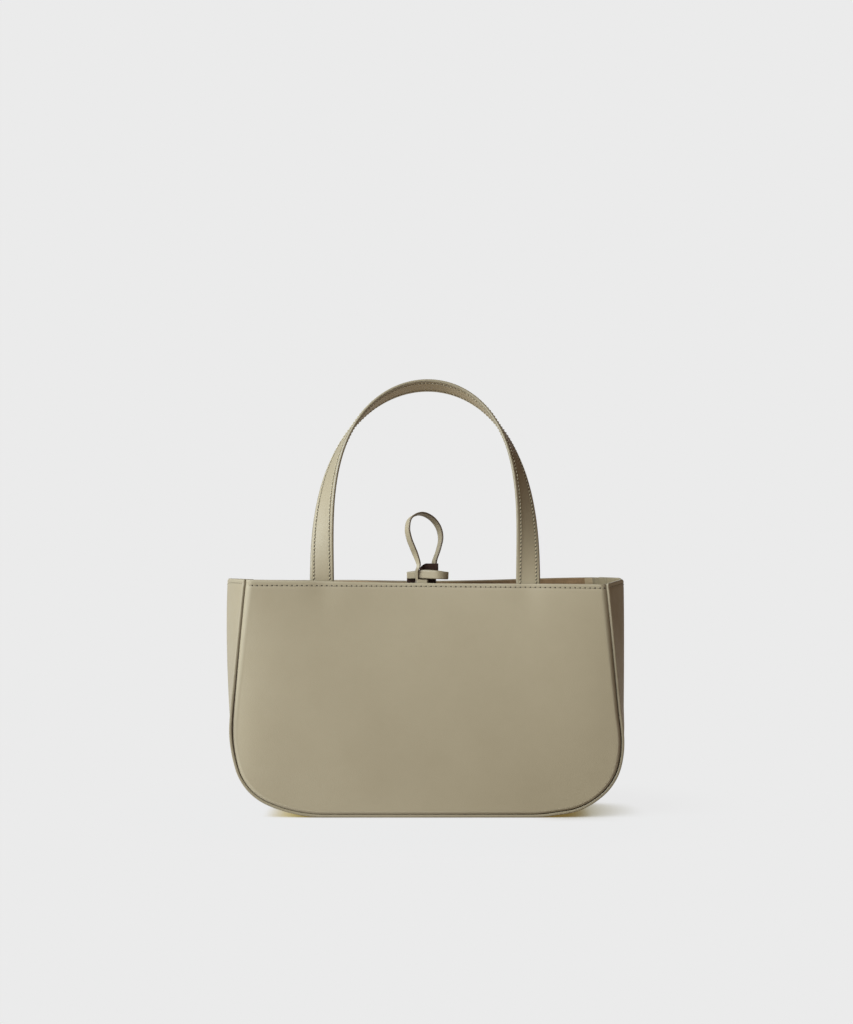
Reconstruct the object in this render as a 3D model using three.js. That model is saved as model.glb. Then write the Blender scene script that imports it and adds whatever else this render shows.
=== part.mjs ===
// A small leather tote bag: two panels, a one-piece gusset, a strap handle and a loop-and-bar closure.
// Millimetres, +Z up. The origin is on the floor under the middle of the bag, and the front faces -Y.
import * as THREE from 'three';

// Body: wall, height and clearance between sewn layers
const LEATHER = 2;
const SEAM_GAP = 0.35;
const TOP_HEIGHT = 165;
const SEAM_HEIGHT = LEATHER + SEAM_GAP;

// Seam outline of half a panel, walked from the middle of the base to the foot of the straight side
const OUTLINE = [
  { stretch: 'base', length: 72, turnDeg: 0, steps: 5 },
  { stretch: 'base rise', length: 41, turnDeg: 24, steps: 4 },
  { stretch: 'corner below', length: 16.6, turnDeg: 25, steps: 3 },
  { stretch: 'corner above', length: 16.6, turnDeg: 25, steps: 3 },
  { stretch: 'flank', length: 29.9, turnDeg: 21.4, steps: 4 },
];
const SIDE_STEPS = 8;
const BASE_STRETCHES = 3;

// Gusset: one strip of constant width whose sides fold outwards along a soft middle crease
const GUSSET_HALF_WIDTH = 42;
const GUSSET_STEPS = 10;
const FOLD_LEFT = { out: 14.6, start: 55, ease: 0.5 };
const FOLD_RIGHT = { out: 13.8, start: 35, ease: 0.25 };
const FOLD_SOFTNESS = 0.1;
const CREASE_SOFTNESS = 0.22;
const EDGE_BACK = 1.3;

// Panels: the edge bends back over a small radius into a flange that is sewn inside the gusset
const BEND_RADIUS = 3;
const BEND_STEPS = 3;
const FLANGE = 5;
const FRONT = { side: -1, drawIn: 4.5, sag: 0.85, dropLeft: -0.4, dropRight: 1.15, footDent: 0.8, dip: 0 };
const BACK = { side: 1, drawIn: 22, sag: 1.3, dropLeft: 0, dropRight: -0.5, footDent: 0, dip: 1.1 };
const RIM_HALF_WIDTH = 126;
const DIP_WIDTH = 60;
const DRAW_POWER = 2.5;
const SAG_POWER = 4;
const BELLY = 3.2;
const BELLY_POWER = 8;
const DENT_WIDTH = 10;
const DENT_DROP = 18;

// The gusset's rim: height at the front seam, the crease and the back seam, and a fall at the crease itself
const LEFT_RIM = { front: 0.3, crease: 0.4, back: -1.1 };
const RIGHT_RIM = { front: -1.2, crease: 1.3, back: 0.6 };
const CREASE_FALL = 1.6;
const CREASE_FALL_HALF = 7;

// The bag stands a little crooked: rim twisted and lower at the right, left side leaning, base shifted,
// lower right corner settled on the floor
const RIM_TWIST = 0.55;
const RIM_TILT = 0.35;
const LEFT_LEAN = 0.8;
const BASE_SHIFT = { aside: 1.7, from: 33, to: 78 };
const CORNER_SIT = { drop: 1.1, x: 105.3, halfWidth: 18, from: 20, to: 45 };

// Handle: a flat strap whose legs face forward and turn outwards on the way up the arch
const HANDLE_WIDTH = 17;
const HANDLE_THICK = 2.2;
const HANDLE_HALF_SPAN = 72.5;
const HANDLE_CENTRE_X = -0.4;
const HANDLE_RISE = 139.6;
const HANDLE_FOOT = 22;
const HANDLE_CLEAR = 0.3;
const HANDLE_FOOT_STEPS = 3;
const HANDLE_STEPS = 44;
const HANDLE_LEAN = 31;
const HANDLE_SWAY = 1.8;
const SWAY_POWER = 3;
const ARCH_POWER = 2 / 3;
const TURN_POWER = 1.22;

// Closure loop: a strap with a wide foot and a slim neck, open in a standing teardrop, and a second foot
const LOOP_HALF_WIDTH = 2.6;
const LOOP_THICK = 1.3;
const LOOP_STEPS_PER_ROW = 4;
const LOOP_YAW = 36;
const LOOP_LEAN = 20;
const LOOP_MIDDLE_Y = -25.6;
// Left leg: x, height over the rim, distance behind the panel's inner face, turn, reach to both sides
const LOOP_LEFT_LEG = [
  { x: -6.2, rise: -15, behind: 0, turnDeg: 90, left: 1.1, right: 8.1 },
  { x: -6.2, rise: -7.5, behind: 0, turnDeg: 90, left: 1.1, right: 8.1 },
  { x: -6.2, rise: 0.6, behind: 0, turnDeg: 90, left: 1.1, right: 8.1 },
  { x: -6.2, rise: 1.2, behind: 0, turnDeg: 90, left: 1.1, right: 8.1 },
  { x: -6.2, rise: 1.5, behind: 0, turnDeg: 90, left: 1.1, right: 1.1 },
  { x: -6.2, rise: 7.4, behind: -0.2, turnDeg: 90, left: 1.1, right: 1.1 },
  { x: -5.2, rise: 9.9, behind: 0, turnDeg: 70, left: 1.3, right: 1.3 },
  { x: -4.9, rise: 12.2, behind: 0.6, turnDeg: 50, left: 1.7, right: 1.7 },
];
// Teardrop: x, height over the rim, distance behind the loop's own plane
const LOOP_TEARDROP = [
  { x: -7, rise: 18.7, behind: 0 },
  { x: -9.2, rise: 24.2, behind: 0 },
  { x: -11.4, rise: 30, behind: 0 },
  { x: -12.7, rise: 37.2, behind: 0 },
  { x: -11, rise: 44.1, behind: 0 },
  { x: -3.9, rise: 47.7, behind: 0 },
  { x: 4, rise: 44.6, behind: 0 },
  { x: 9.2, rise: 37.7, behind: 0 },
  { x: 10.7, rise: 30.2, behind: 0 },
  { x: 9.2, rise: 22.5, behind: 0 },
  { x: 6.4, rise: 14, behind: 1.2 },
  { x: 5.6, rise: 6, behind: 2.4 },
];
// Right leg: x, height over the rim, distance behind the panel's inner face, turn
const LOOP_RIGHT_LEG = [
  { x: 5.5, rise: 0, behind: 11.6, turnDeg: 36 },
  { x: 5.5, rise: -6, behind: 10.4, turnDeg: 50 },
  { x: 5.5, rise: -13, behind: 1.6, turnDeg: 90 },
  { x: 5.5, rise: -16, behind: 0.2, turnDeg: 90 },
  { x: 5.5, rise: -20, behind: 0, turnDeg: 90 },
];

// Closure bar: a short strip on edge behind the loop's neck; it bulges and turns away at its right end
const BAR_THICK = 1.6;
const BAR_STEPS_PER_ROW = 2;
// Rows from the left end: place of the middle line, half the strip's height there
const BAR_ROWS = [
  { x: -13.1, y: -29.5, z: 169.2, half: 2.45 },
  { x: -9.8, y: -29.9, z: 169.4, half: 2.7 },
  { x: -6.2, y: -30.35, z: 169.75, half: 2.9 },
  { x: -3.4, y: -30.9, z: 170.1, half: 3.1 },
  { x: 0, y: -31.7, z: 170.1, half: 3.15 },
  { x: 4, y: -32.7, z: 169.95, half: 3.15 },
  { x: 8.6, y: -33.6, z: 169.7, half: 3.05 },
  { x: 11.8, y: -32.9, z: 169.4, half: 2.85 },
  { x: 13.8, y: -31.6, z: 169.2, half: 2.75 },
  { x: 15.6, y: -29.9, z: 169.05, half: 2.65 },
];

// Closure tab: sewn inside the back panel, runs forward as a stem and turns up into a head behind the bar
const TAB_THICK = 1.6;
const STEM_LEFT = 13.2;
const STEM_RIGHT = 2.5;
const STEM_Z = 163.5;
const TAB_SEW_DEPTH = 14;
const TAB_FOOT_CLEAR = 1;
const TAB_BEND = 1.8;
const TAB_BEND_STEPS = 4;
const TAB_SHOULDER = 0.2;
const HEAD_Y = -27.6;
const NECK_RIGHT = 6.6;
// Head from below: height and reach of both edges; it widens at the right and steps in and slants at the left
const HEAD_ROWS = [
  { z: 165.5, left: 13.2, right: 6.6 },
  { z: 168.4, left: 13.2, right: 6.6 },
  { z: 168.7, left: 13.2, right: 9 },
  { z: 169.4, left: 13.2, right: 9 },
  { z: 169.7, left: 4.4, right: 9 },
  { z: 172.8, left: 4.4, right: 9 },
  { z: 174.4, left: 4.1, right: 9 },
  { z: 175.6, left: 3.2, right: 9 },
  { z: 176.6, left: 1.9, right: 9 },
  { z: 177.6, left: 0, right: 9 },
];

// Finishes: grain side of the leather, its straps, and the brown flesh side
const GRAIN = { color: 0xa99e86, roughness: 0.55, metalness: 0 };
const STRAP = { color: 0xb3a890, roughness: 0.5, metalness: 0 };
const FLESH = { color: 0x4a3426, roughness: 0.85, metalness: 0 };

const rad = THREE.MathUtils.degToRad;
const { lerp, clamp, smoothstep } = THREE.MathUtils;

// A ramp that leaves zero softly and then grows evenly
function softRamp(value, softness) {
  return (value + Math.hypot(value, softness)) / 2;
}

// One at the middle, falling smoothly to zero at the given half width
function bell(x, halfWidth) {
  const share = clamp(x / halfWidth, -1, 1);
  return Math.cos(share * Math.PI / 2) ** 2;
}

// How far one of the gusset's creases stands out of the seam at a height
function foldOut(fold, z) {
  const share = (z - fold.start) / (TOP_HEIGHT - fold.start);
  return fold.out * softRamp(share, FOLD_SOFTNESS) * (1 + fold.ease * (1 - share));
}

// Half the depth of the bag at a height, from the constant width of the folded gusset
function halfDepth(z) {
  return Math.sqrt(GUSSET_HALF_WIDTH ** 2 - foldOut(FOLD_RIGHT, z) ** 2);
}

// Y of a panel's outer face: a slight belly, drawn inwards at the closure and dented under the handle feet
function faceY(panel, x, z) {
  const height = clamp((z - SEAM_HEIGHT) / (TOP_HEIGHT - SEAM_HEIGHT), 0, 1);
  const belly = BELLY * (1 - (x / RIM_HALF_WIDTH) ** BELLY_POWER) * Math.sin(Math.PI * height);
  const draw = panel.drawIn * bell(x, RIM_HALF_WIDTH) * (z / TOP_HEIGHT) ** DRAW_POWER;
  const fromFoot = (Math.abs(x) - HANDLE_HALF_SPAN) / DENT_WIDTH;
  const fromRim = (TOP_HEIGHT - z) / DENT_DROP;
  const dent = panel.footDent * Math.exp(-(fromFoot ** 2) - fromRim ** 2);
  return panel.side * (halfDepth(z) + belly - draw - dent);
}

// Y of a strip's middle plane when it lies against a panel's inner face
function insideY(panel, x, z, stripThick) {
  return faceY(panel, x, z) - panel.side * (LEATHER + SEAM_GAP + stripThick / 2);
}

// A point of the body moved to where it stands: crooked rim, leaning left side, shifted base, low corner
function settle(point) {
  const height = point.z / TOP_HEIGHT;
  const across = point.x / RIM_HALF_WIDTH;
  const high = smoothstep(point.z, BASE_SHIFT.from, BASE_SHIFT.to);
  const low = clamp((CORNER_SIT.to - point.z) / (CORNER_SIT.to - CORNER_SIT.from), 0, 1);
  point.z -= CORNER_SIT.drop * bell(point.x - CORNER_SIT.x, CORNER_SIT.halfWidth) * low;
  point.x += LEFT_LEAN * Math.max(-across, 0) * height ** 2 + BASE_SHIFT.aside * (1 - high);
  point.z += (RIM_TWIST * point.y / GUSSET_HALF_WIDTH - RIM_TILT) * across * height ** 2;
  return point;
}

// How far a panel's top edge hangs below the rim at a point, fading towards the base
function hang(panel, { x, z }) {
  const corner = lerp(panel.dropLeft, panel.dropRight, (x / RIM_HALF_WIDTH + 1) / 2);
  const dip = panel.dip * clamp(1 - (RIM_HALF_WIDTH + x) / DIP_WIDTH, 0, 1) ** 2;
  return (corner + dip + panel.sag * bell(x, RIM_HALF_WIDTH)) * (z / TOP_HEIGHT) ** SAG_POWER;
}

// How far the gusset stands over the level rim at a point, fading towards the base
function stand({ x, y, z }) {
  const rim = x < 0 ? LEFT_RIM : RIGHT_RIM;
  const level = lerp(rim.crease, y < 0 ? rim.front : rim.back, Math.abs(y) / GUSSET_HALF_WIDTH);
  return (level - CREASE_FALL * bell(y, CREASE_FALL_HALF)) * (z / TOP_HEIGHT) ** SAG_POWER;
}

// Stations along the whole seam, from the left rim round the base to the right rim, with outward normals
function seamStations() {
  const half = [];
  let x = 0;
  let z = SEAM_HEIGHT;
  let heading = 0;
  const walk = ({ length, turnDeg, steps }) => {
    const turn = rad(turnDeg) / steps;
    const arc = length / steps;
    const chord = turn === 0 ? arc : 2 * (arc / turn) * Math.sin(turn / 2);
    for (let step = 0; step < steps; step += 1) {
      half.push({ x, z, nx: Math.sin(heading), nz: -Math.cos(heading) });
      x += chord * Math.cos(heading + turn / 2);
      z += chord * Math.sin(heading + turn / 2);
      heading += turn;
    }
  };
  OUTLINE.forEach(walk);
  walk({ length: (TOP_HEIGHT - z) / Math.sin(heading), turnDeg: 0, steps: SIDE_STEPS });
  half.push({ x, z: TOP_HEIGHT, nx: Math.sin(heading), nz: -Math.cos(heading) });
  const left = half.slice(1).reverse().map((s) => ({ x: -s.x, z: s.z, nx: -s.nx, nz: s.nz }));
  return [...left, ...half];
}

const STATIONS = seamStations();
const BASE_STEPS = 2 * OUTLINE.slice(0, BASE_STRETCHES).reduce((sum, row) => sum + row.steps, 0);
const FLANK_STEPS = (STATIONS.length - 1 - BASE_STEPS) / 2;

// Outer face of the gusset at a seam station, across from the front edge (-1) to the back edge (1)
function gussetPoint(station, across) {
  const { x, z, nx, nz } = station;
  const soft = Math.hypot(1, CREASE_SOFTNESS) - CREASE_SOFTNESS;
  const crest = 1 - (Math.hypot(across, CREASE_SOFTNESS) - CREASE_SOFTNESS) / soft;
  const front = faceY(FRONT, x, z) + EDGE_BACK;
  const back = faceY(BACK, x, z) - EDGE_BACK;
  const fold = foldOut(x < 0 ? FOLD_LEFT : FOLD_RIGHT, z);
  return new THREE.Vector3(
    x + nx * (SEAM_HEIGHT + fold * crest),
    lerp(front, back, (across + 1) / 2),
    z + nz * SEAM_HEIGHT,
  );
}

// Outer face of a panel's flange, just inside the gusset, at a depth behind the panel's face
function flangePoint(panel, station, depth) {
  const reach = halfDepth(station.z) - EDGE_BACK;
  const across = panel.side * (1 - (depth - EDGE_BACK) / reach);
  const delta = 0.01;
  const slope = gussetPoint(station, across + delta).sub(gussetPoint(station, across - delta));
  const along = new THREE.Vector3(-station.nz, 0, station.nx);
  const outward = slope.cross(along).normalize();
  return gussetPoint(station, across).addScaledVector(outward, -SEAM_HEIGHT);
}

// Two triangles for a four-sided patch
function quad(a, b, c, d) {
  return [[a, b, c], [a, c, d]];
}

// Indexed geometry from points and triangles
function indexed(points, triangles) {
  const geometry = new THREE.BufferGeometry().setFromPoints(points);
  geometry.setIndex(triangles.flat());
  geometry.computeVertexNormals();
  return geometry;
}

// A closed wall from an open sheet: the sheet, its copy moved in by the wall, and a rim round the border
function thicken(points, triangles, wall) {
  const normals = indexed(points, triangles).getAttribute('normal');
  const count = points.length;
  const inner = points.map((point, i) => {
    const normal = new THREE.Vector3().fromBufferAttribute(normals, i);
    return point.clone().addScaledVector(normal, -wall);
  });
  const edges = new Set(triangles.flatMap(([a, b, c]) => [`${a} ${b}`, `${b} ${c}`, `${c} ${a}`]));
  const faces = [...triangles];
  for (const [a, b, c] of triangles) {
    faces.push([a + count, c + count, b + count]);
    for (const [from, to] of [[a, b], [b, c], [c, a]]) {
      if (!edges.has(`${to} ${from}`)) faces.push(...quad(to, from, from + count, to + count));
    }
  }
  return indexed([...points, ...inner], faces);
}

// A closed strap through sections, each with a centre, a unit width direction, a normal and two half widths
function strap(sections, thickness) {
  const points = [];
  for (const { centre, across, normal, left, right } of sections) {
    for (const [reach, lift] of [[-left, 1], [right, 1], [right, -1], [-left, -1]]) {
      const corner = centre.clone().addScaledVector(across, reach);
      points.push(corner.addScaledVector(normal, lift * thickness / 2));
    }
  }
  const triangles = [...quad(0, 1, 2, 3)];
  for (let s = 0; s < sections.length - 1; s += 1) {
    for (let k = 0; k < 4; k += 1) {
      const next = (k + 1) % 4;
      triangles.push(...quad(4 * s + k, 4 * s + 4 + k, 4 * s + 4 + next, 4 * s + next));
    }
  }
  const last = 4 * (sections.length - 1);
  triangles.push(...quad(last + 3, last + 2, last + 1, last));
  return indexed(points, triangles);
}

// Panel face inside its bent edge: a grid blended from the seam below and at both sides up to the rim
function panelFace(panel, ring) {
  const left = ring.slice(0, FLANK_STEPS + 1).reverse();
  const base = ring.slice(FLANK_STEPS, FLANK_STEPS + BASE_STEPS + 1);
  const right = ring.slice(FLANK_STEPS + BASE_STEPS);
  const widening = right[FLANK_STEPS].x / base[BASE_STEPS].x;
  const rim = base.map((point) => ({ x: point.x * widening, z: TOP_HEIGHT }));
  const blend = (u, v, i, j, key) => {
    const upright = lerp(base[i][key], rim[i][key], v);
    const level = lerp(left[j][key], right[j][key], u);
    const low = lerp(base[0][key], base[BASE_STEPS][key], u);
    const high = lerp(rim[0][key], rim[BASE_STEPS][key], u);
    return upright + level - lerp(low, high, v);
  };
  const grid = [];
  for (let j = 0; j <= FLANK_STEPS; j += 1) {
    for (let i = 0; i <= BASE_STEPS; i += 1) {
      const u = i / BASE_STEPS;
      const v = j / FLANK_STEPS;
      const x = blend(u, v, i, j, 'x');
      const z = blend(u, v, i, j, 'z');
      grid.push(new THREE.Vector3(x, faceY(panel, x, z), z));
    }
  }
  return grid;
}

// One panel: face, bent edge and flange as a single sheet, thickened inwards
function panelGeometry(panel) {
  const edge = STATIONS.map((s) => ({ x: s.x - s.nx * BEND_RADIUS, z: s.z - s.nz * BEND_RADIUS }));
  edge[0].z = TOP_HEIGHT;
  edge[edge.length - 1].z = TOP_HEIGHT;
  const points = panelFace(panel, edge);
  const columns = BASE_STEPS + 1;
  const triangles = [];
  for (let j = 0; j < FLANK_STEPS; j += 1) {
    for (let i = 0; i < BASE_STEPS; i += 1) {
      const a = j * columns + i;
      triangles.push(...quad(a, a + 1, a + 1 + columns, a + columns));
    }
  }
  const onFace = (s) => {
    if (s <= FLANK_STEPS) return (FLANK_STEPS - s) * columns;
    if (s <= FLANK_STEPS + BASE_STEPS) return s - FLANK_STEPS;
    return (s - FLANK_STEPS - BASE_STEPS) * columns + BASE_STEPS;
  };
  let ring = STATIONS.map((_, s) => onFace(s));
  const addRing = (place) => {
    const next = STATIONS.map((station, s) => points.push(place(station, edge[s])) - 1);
    for (let s = 0; s < STATIONS.length - 1; s += 1) {
      triangles.push(...quad(next[s], next[s + 1], ring[s + 1], ring[s]));
    }
    ring = next;
  };
  for (let step = 1; step <= BEND_STEPS; step += 1) {
    const angle = (step / BEND_STEPS) * Math.PI / 2;
    addRing((station, { x, z }) => {
      const end = flangePoint(panel, station, BEND_RADIUS);
      const y = lerp(faceY(panel, x, z), end.y, 1 - Math.cos(angle));
      return new THREE.Vector3(lerp(x, end.x, Math.sin(angle)), y, lerp(z, end.z, Math.sin(angle)));
    });
  }
  addRing((station) => flangePoint(panel, station, BEND_RADIUS + FLANGE));
  for (const point of points) {
    const drop = hang(panel, point);
    settle(point);
    point.z -= drop;
  }
  const facing = panel.side < 0 ? triangles : triangles.map(([a, b, c]) => [a, c, b]);
  return thicken(points, facing, LEATHER);
}

// The gusset: base and both sides in one strip along the seam
function gussetGeometry() {
  const points = [];
  const triangles = [];
  const columns = GUSSET_STEPS + 1;
  STATIONS.forEach((station, s) => {
    for (let k = 0; k < columns; k += 1) {
      const point = gussetPoint(station, 2 * k / GUSSET_STEPS - 1);
      const rise = stand(point);
      points.push(settle(point));
      point.z += rise;
      if (s > 0 && k > 0) {
        const a = (s - 1) * columns + k - 1;
        triangles.push(...quad(a, a + 1, a + 1 + columns, a + columns));
      }
    }
  });
  return thicken(points, triangles, LEATHER);
}

// Middle line of the handle: down inside the panel below the rim, a leaning arch above it
function handlePoint(x, rise) {
  const footX = rise > 0 ? HANDLE_HALF_SPAN : x;
  const foot = insideY(FRONT, footX, TOP_HEIGHT + Math.min(rise, 0), HANDLE_THICK) + HANDLE_CLEAR;
  const lean = HANDLE_LEAN * Math.max(rise / HANDLE_RISE, 0) ** 2;
  return new THREE.Vector3(x, foot + lean, TOP_HEIGHT + rise);
}

// The handle: a strap section at each point of its middle line, turned from facing forward to facing up
function handleGeometry() {
  const line = [];
  for (let step = 0; step < HANDLE_FOOT_STEPS; step += 1) {
    line.push({ x: HANDLE_CENTRE_X - HANDLE_HALF_SPAN, rise: -HANDLE_FOOT * (1 - step / HANDLE_FOOT_STEPS) });
  }
  for (let step = 0; step <= HANDLE_STEPS; step += 1) {
    const angle = Math.PI * step / HANDLE_STEPS;
    const rise = HANDLE_RISE * Math.max(Math.sin(angle), 0) ** ARCH_POWER;
    const sway = HANDLE_SWAY * (rise / HANDLE_RISE) ** SWAY_POWER;
    line.push({ x: HANDLE_CENTRE_X + sway - HANDLE_HALF_SPAN * Math.cos(angle), rise });
  }
  for (let step = 1; step <= HANDLE_FOOT_STEPS; step += 1) {
    line.push({ x: HANDLE_CENTRE_X + HANDLE_HALF_SPAN, rise: -HANDLE_FOOT * step / HANDLE_FOOT_STEPS });
  }
  const centres = line.map(({ x, rise }) => handlePoint(x, rise));
  const sections = line.map(({ rise }, i) => {
    const before = centres[Math.max(i - 1, 0)];
    const after = centres[Math.min(i + 1, centres.length - 1)];
    const along = after.clone().sub(before).normalize();
    const share = clamp(rise / HANDLE_RISE, 0, 1);
    const turn = (Math.PI / 2) * (1 - (1 - share) ** TURN_POWER);
    const forward = new THREE.Vector3(0, -1, 2 * HANDLE_LEAN * share / HANDLE_RISE).normalize();
    const outward = forward.clone().cross(along).normalize();
    const normal = forward.multiplyScalar(Math.cos(turn)).addScaledVector(outward, Math.sin(turn));
    normal.addScaledVector(along, -normal.dot(along)).normalize();
    const across = normal.clone().cross(along);
    return { centre: centres[i], across, normal, left: HANDLE_WIDTH / 2, right: HANDLE_WIDTH / 2 };
  });
  return strap(sections, HANDLE_THICK);
}

// Rows of the closure loop from its left foot, up and round the teardrop, down to its right foot
function loopRows() {
  const wide = { left: LOOP_HALF_WIDTH, right: LOOP_HALF_WIDTH };
  const leg = ({ x, rise, behind, ...row }) => {
    const y = insideY(FRONT, x, TOP_HEIGHT + Math.min(rise, 0), LOOP_THICK) + behind;
    return { ...wide, ...row, leanDeg: 0, place: new THREE.Vector3(x, y, TOP_HEIGHT + rise) };
  };
  const standing = ({ x, rise, behind }) => {
    const y = LOOP_MIDDLE_Y + x * Math.tan(rad(LOOP_YAW)) + behind;
    const place = new THREE.Vector3(x, y, TOP_HEIGHT + rise);
    return { ...wide, turnDeg: LOOP_YAW, leanDeg: LOOP_LEAN, place };
  };
  return [...LOOP_LEFT_LEG.map(leg), ...LOOP_TEARDROP.map(standing), ...LOOP_RIGHT_LEG.map(leg)];
}

// The closure loop: a smooth strap through its rows; turn and width change evenly from row to row
function loopGeometry() {
  const rows = loopRows();
  const curve = new THREE.CatmullRomCurve3(rows.map((row) => row.place));
  const steps = (rows.length - 1) * LOOP_STEPS_PER_ROW;
  const sections = [];
  for (let step = 0; step <= steps; step += 1) {
    const row = Math.min(Math.floor(step / LOOP_STEPS_PER_ROW), rows.length - 2);
    const between = (key) => lerp(rows[row][key], rows[row + 1][key], step / LOOP_STEPS_PER_ROW - row);
    const turn = rad(between('turnDeg'));
    const along = curve.getTangent(step / steps);
    const across = new THREE.Vector3(Math.sin(turn), -Math.cos(turn), Math.tan(rad(between('leanDeg'))));
    across.addScaledVector(along, -across.dot(along)).normalize();
    const normal = along.clone().cross(across);
    const centre = curve.getPoint(step / steps);
    sections.push({ centre, across, normal, left: between('left'), right: between('right') });
  }
  return strap(sections, LOOP_THICK);
}

// The closure bar: a strip that stands upright along its rows
function barGeometry() {
  const curve = new THREE.CatmullRomCurve3(BAR_ROWS.map(({ x, y, z }) => new THREE.Vector3(x, y, z)));
  const steps = (BAR_ROWS.length - 1) * BAR_STEPS_PER_ROW;
  const sections = [];
  for (let step = 0; step <= steps; step += 1) {
    const along = curve.getTangent(step / steps);
    const across = new THREE.Vector3(0, 0, 1).addScaledVector(along, -along.z).normalize();
    const normal = along.clone().cross(across);
    const centre = curve.getPoint(step / steps);
    const row = Math.min(Math.floor(step / BAR_STEPS_PER_ROW), BAR_ROWS.length - 2);
    const half = lerp(BAR_ROWS[row].half, BAR_ROWS[row + 1].half, step / BAR_STEPS_PER_ROW - row);
    sections.push({ centre, across, normal, left: half, right: half });
  }
  return strap(sections, BAR_THICK);
}

// The closure tab: up the back panel, forward over the mouth, and up behind the bar
function tabGeometry() {
  const sections = [];
  const add = (y, z, pitch, left, right) => sections.push({
    centre: new THREE.Vector3(0, y, z),
    across: new THREE.Vector3(1, 0, 0),
    normal: new THREE.Vector3(0, Math.cos(pitch), -Math.sin(pitch)),
    left,
    right,
  });
  const foot = TOP_HEIGHT - BACK.sag - TAB_SEW_DEPTH;
  const sewnY = insideY(BACK, 0, TOP_HEIGHT, TAB_THICK);
  add(insideY(BACK, 0, foot, TAB_THICK) - TAB_FOOT_CLEAR, foot, 0, STEM_LEFT, STEM_RIGHT);
  for (let step = 0; step <= TAB_BEND_STEPS; step += 1) {
    const pitch = -(step / TAB_BEND_STEPS) * Math.PI / 2;
    const y = sewnY - TAB_BEND * (1 - Math.cos(pitch));
    add(y, STEM_Z - TAB_BEND - TAB_BEND * Math.sin(pitch), pitch, STEM_LEFT, STEM_RIGHT);
  }
  add(HEAD_Y + TAB_BEND + TAB_SHOULDER, STEM_Z, -Math.PI / 2, STEM_LEFT, STEM_RIGHT);
  for (let step = 0; step <= TAB_BEND_STEPS; step += 1) {
    const pitch = -(1 - step / TAB_BEND_STEPS) * Math.PI / 2;
    const y = HEAD_Y + TAB_BEND * (1 - Math.cos(pitch));
    add(y, STEM_Z + TAB_BEND + TAB_BEND * Math.sin(pitch), pitch, STEM_LEFT, NECK_RIGHT);
  }
  for (const { z, left, right } of HEAD_ROWS) add(HEAD_Y, z, 0, left, right);
  return strap(sections, TAB_THICK);
}

const bag = new THREE.Group();
bag.name = 'tote_bag';

// A named piece of the bag with a material of its own
function addPiece(name, geometry, finish) {
  const piece = new THREE.Mesh(geometry, new THREE.MeshStandardMaterial(finish));
  piece.name = name;
  bag.add(piece);
}

addPiece('front_panel', panelGeometry(FRONT), GRAIN);
addPiece('back_panel', panelGeometry(BACK), GRAIN);
addPiece('gusset', gussetGeometry(), GRAIN);
addPiece('handle', handleGeometry(), STRAP);
addPiece('closure_loop', loopGeometry(), STRAP);
addPiece('closure_bar', barGeometry(), STRAP);
addPiece('closure_tab', tabGeometry(), FLESH);

export default bag;
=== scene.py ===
"""Looks of a small leather tote bag: its panels, gusset, handle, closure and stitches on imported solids."""

import logging
import math
from dataclasses import dataclass
from enum import Enum, IntEnum
from typing import Any, Sequence

import bpy
import numpy as np
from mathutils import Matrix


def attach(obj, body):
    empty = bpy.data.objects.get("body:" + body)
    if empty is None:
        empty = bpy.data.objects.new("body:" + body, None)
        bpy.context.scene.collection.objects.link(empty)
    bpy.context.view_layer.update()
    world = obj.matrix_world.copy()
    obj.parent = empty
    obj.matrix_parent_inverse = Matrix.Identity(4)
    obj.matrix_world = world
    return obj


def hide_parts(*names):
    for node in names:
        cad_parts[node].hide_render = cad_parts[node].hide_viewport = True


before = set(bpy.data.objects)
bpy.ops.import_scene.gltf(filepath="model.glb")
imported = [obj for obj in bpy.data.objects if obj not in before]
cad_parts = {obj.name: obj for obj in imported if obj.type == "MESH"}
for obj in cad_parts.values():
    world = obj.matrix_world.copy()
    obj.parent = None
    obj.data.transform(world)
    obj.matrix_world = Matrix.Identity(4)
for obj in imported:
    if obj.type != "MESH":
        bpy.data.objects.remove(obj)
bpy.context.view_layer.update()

LOG = logging.getLogger("tote_bag")
BODY = "root"
MM = 0.001
Array = np.ndarray
Material = bpy.types.Material
Tree = bpy.types.NodeTree
Socket = bpy.types.NodeSocket


class Face(IntEnum):
    """Which finish a face of a leather wall or strap takes; the last two are for a panel's inside: a paler
    copy of the leather as painted light near its sides, and a darker copy as painted shade on its flanges.
    """

    OUTSIDE = 0
    INSIDE = 1
    EDGE = 2
    FACING_PAINTED_LIGHT = 3
    FLANGE_PAINTED_SHADE = 4


class Sewn(IntEnum):
    """Which finish a face of a sewn row takes; the dark finish of the holes is painted shade."""

    THREAD = 0
    HOLE_PAINTED_SHADE = 1


class Side(IntEnum):
    """Which way a panel faces along y."""

    FRONT = -1
    BACK = 1


class Slot(Enum):
    """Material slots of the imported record."""

    BODY = "body_leather"
    STRAP = "strap_leather"
    FLESH = "flesh_leather"


def unit(vectors: Array) -> Array:
    """Scale each row to length one.

    Args:
        vectors: Rows of three numbers.

    Returns:
        The rows at unit length.
    """
    length = np.linalg.norm(vectors, axis=-1, keepdims=True)
    return vectors / np.maximum(length, 1e-12)


def squared_to(vectors: Array, along: Array) -> Array:
    """Turn each row square to a direction.

    Args:
        vectors: Rows of three numbers.
        along: Unit direction for each row.

    Returns:
        Unit rows at right angles to the directions.
    """
    return unit(vectors - along * np.sum(vectors * along, axis=1, keepdims=True))


def soft_ramp(value: Array, softness: float) -> Array:
    """Leave zero softly and then grow evenly.

    Args:
        value: Where on the ramp, zero at its start.
        softness: Width of the soft start.

    Returns:
        The height of the ramp.
    """
    return (value + np.hypot(value, softness)) / 2


def smooth_step(value: Array, start: float, end: float) -> Array:
    """Rise from zero to one between two places, level at both.

    Args:
        value: Where to read the step.
        start: Place up to which it is zero.
        end: Place from which it is one.

    Returns:
        The height of the step.
    """
    share = np.clip((value - start) / (end - start), 0, 1)
    return share ** 2 * (3 - 2 * share)


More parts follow.
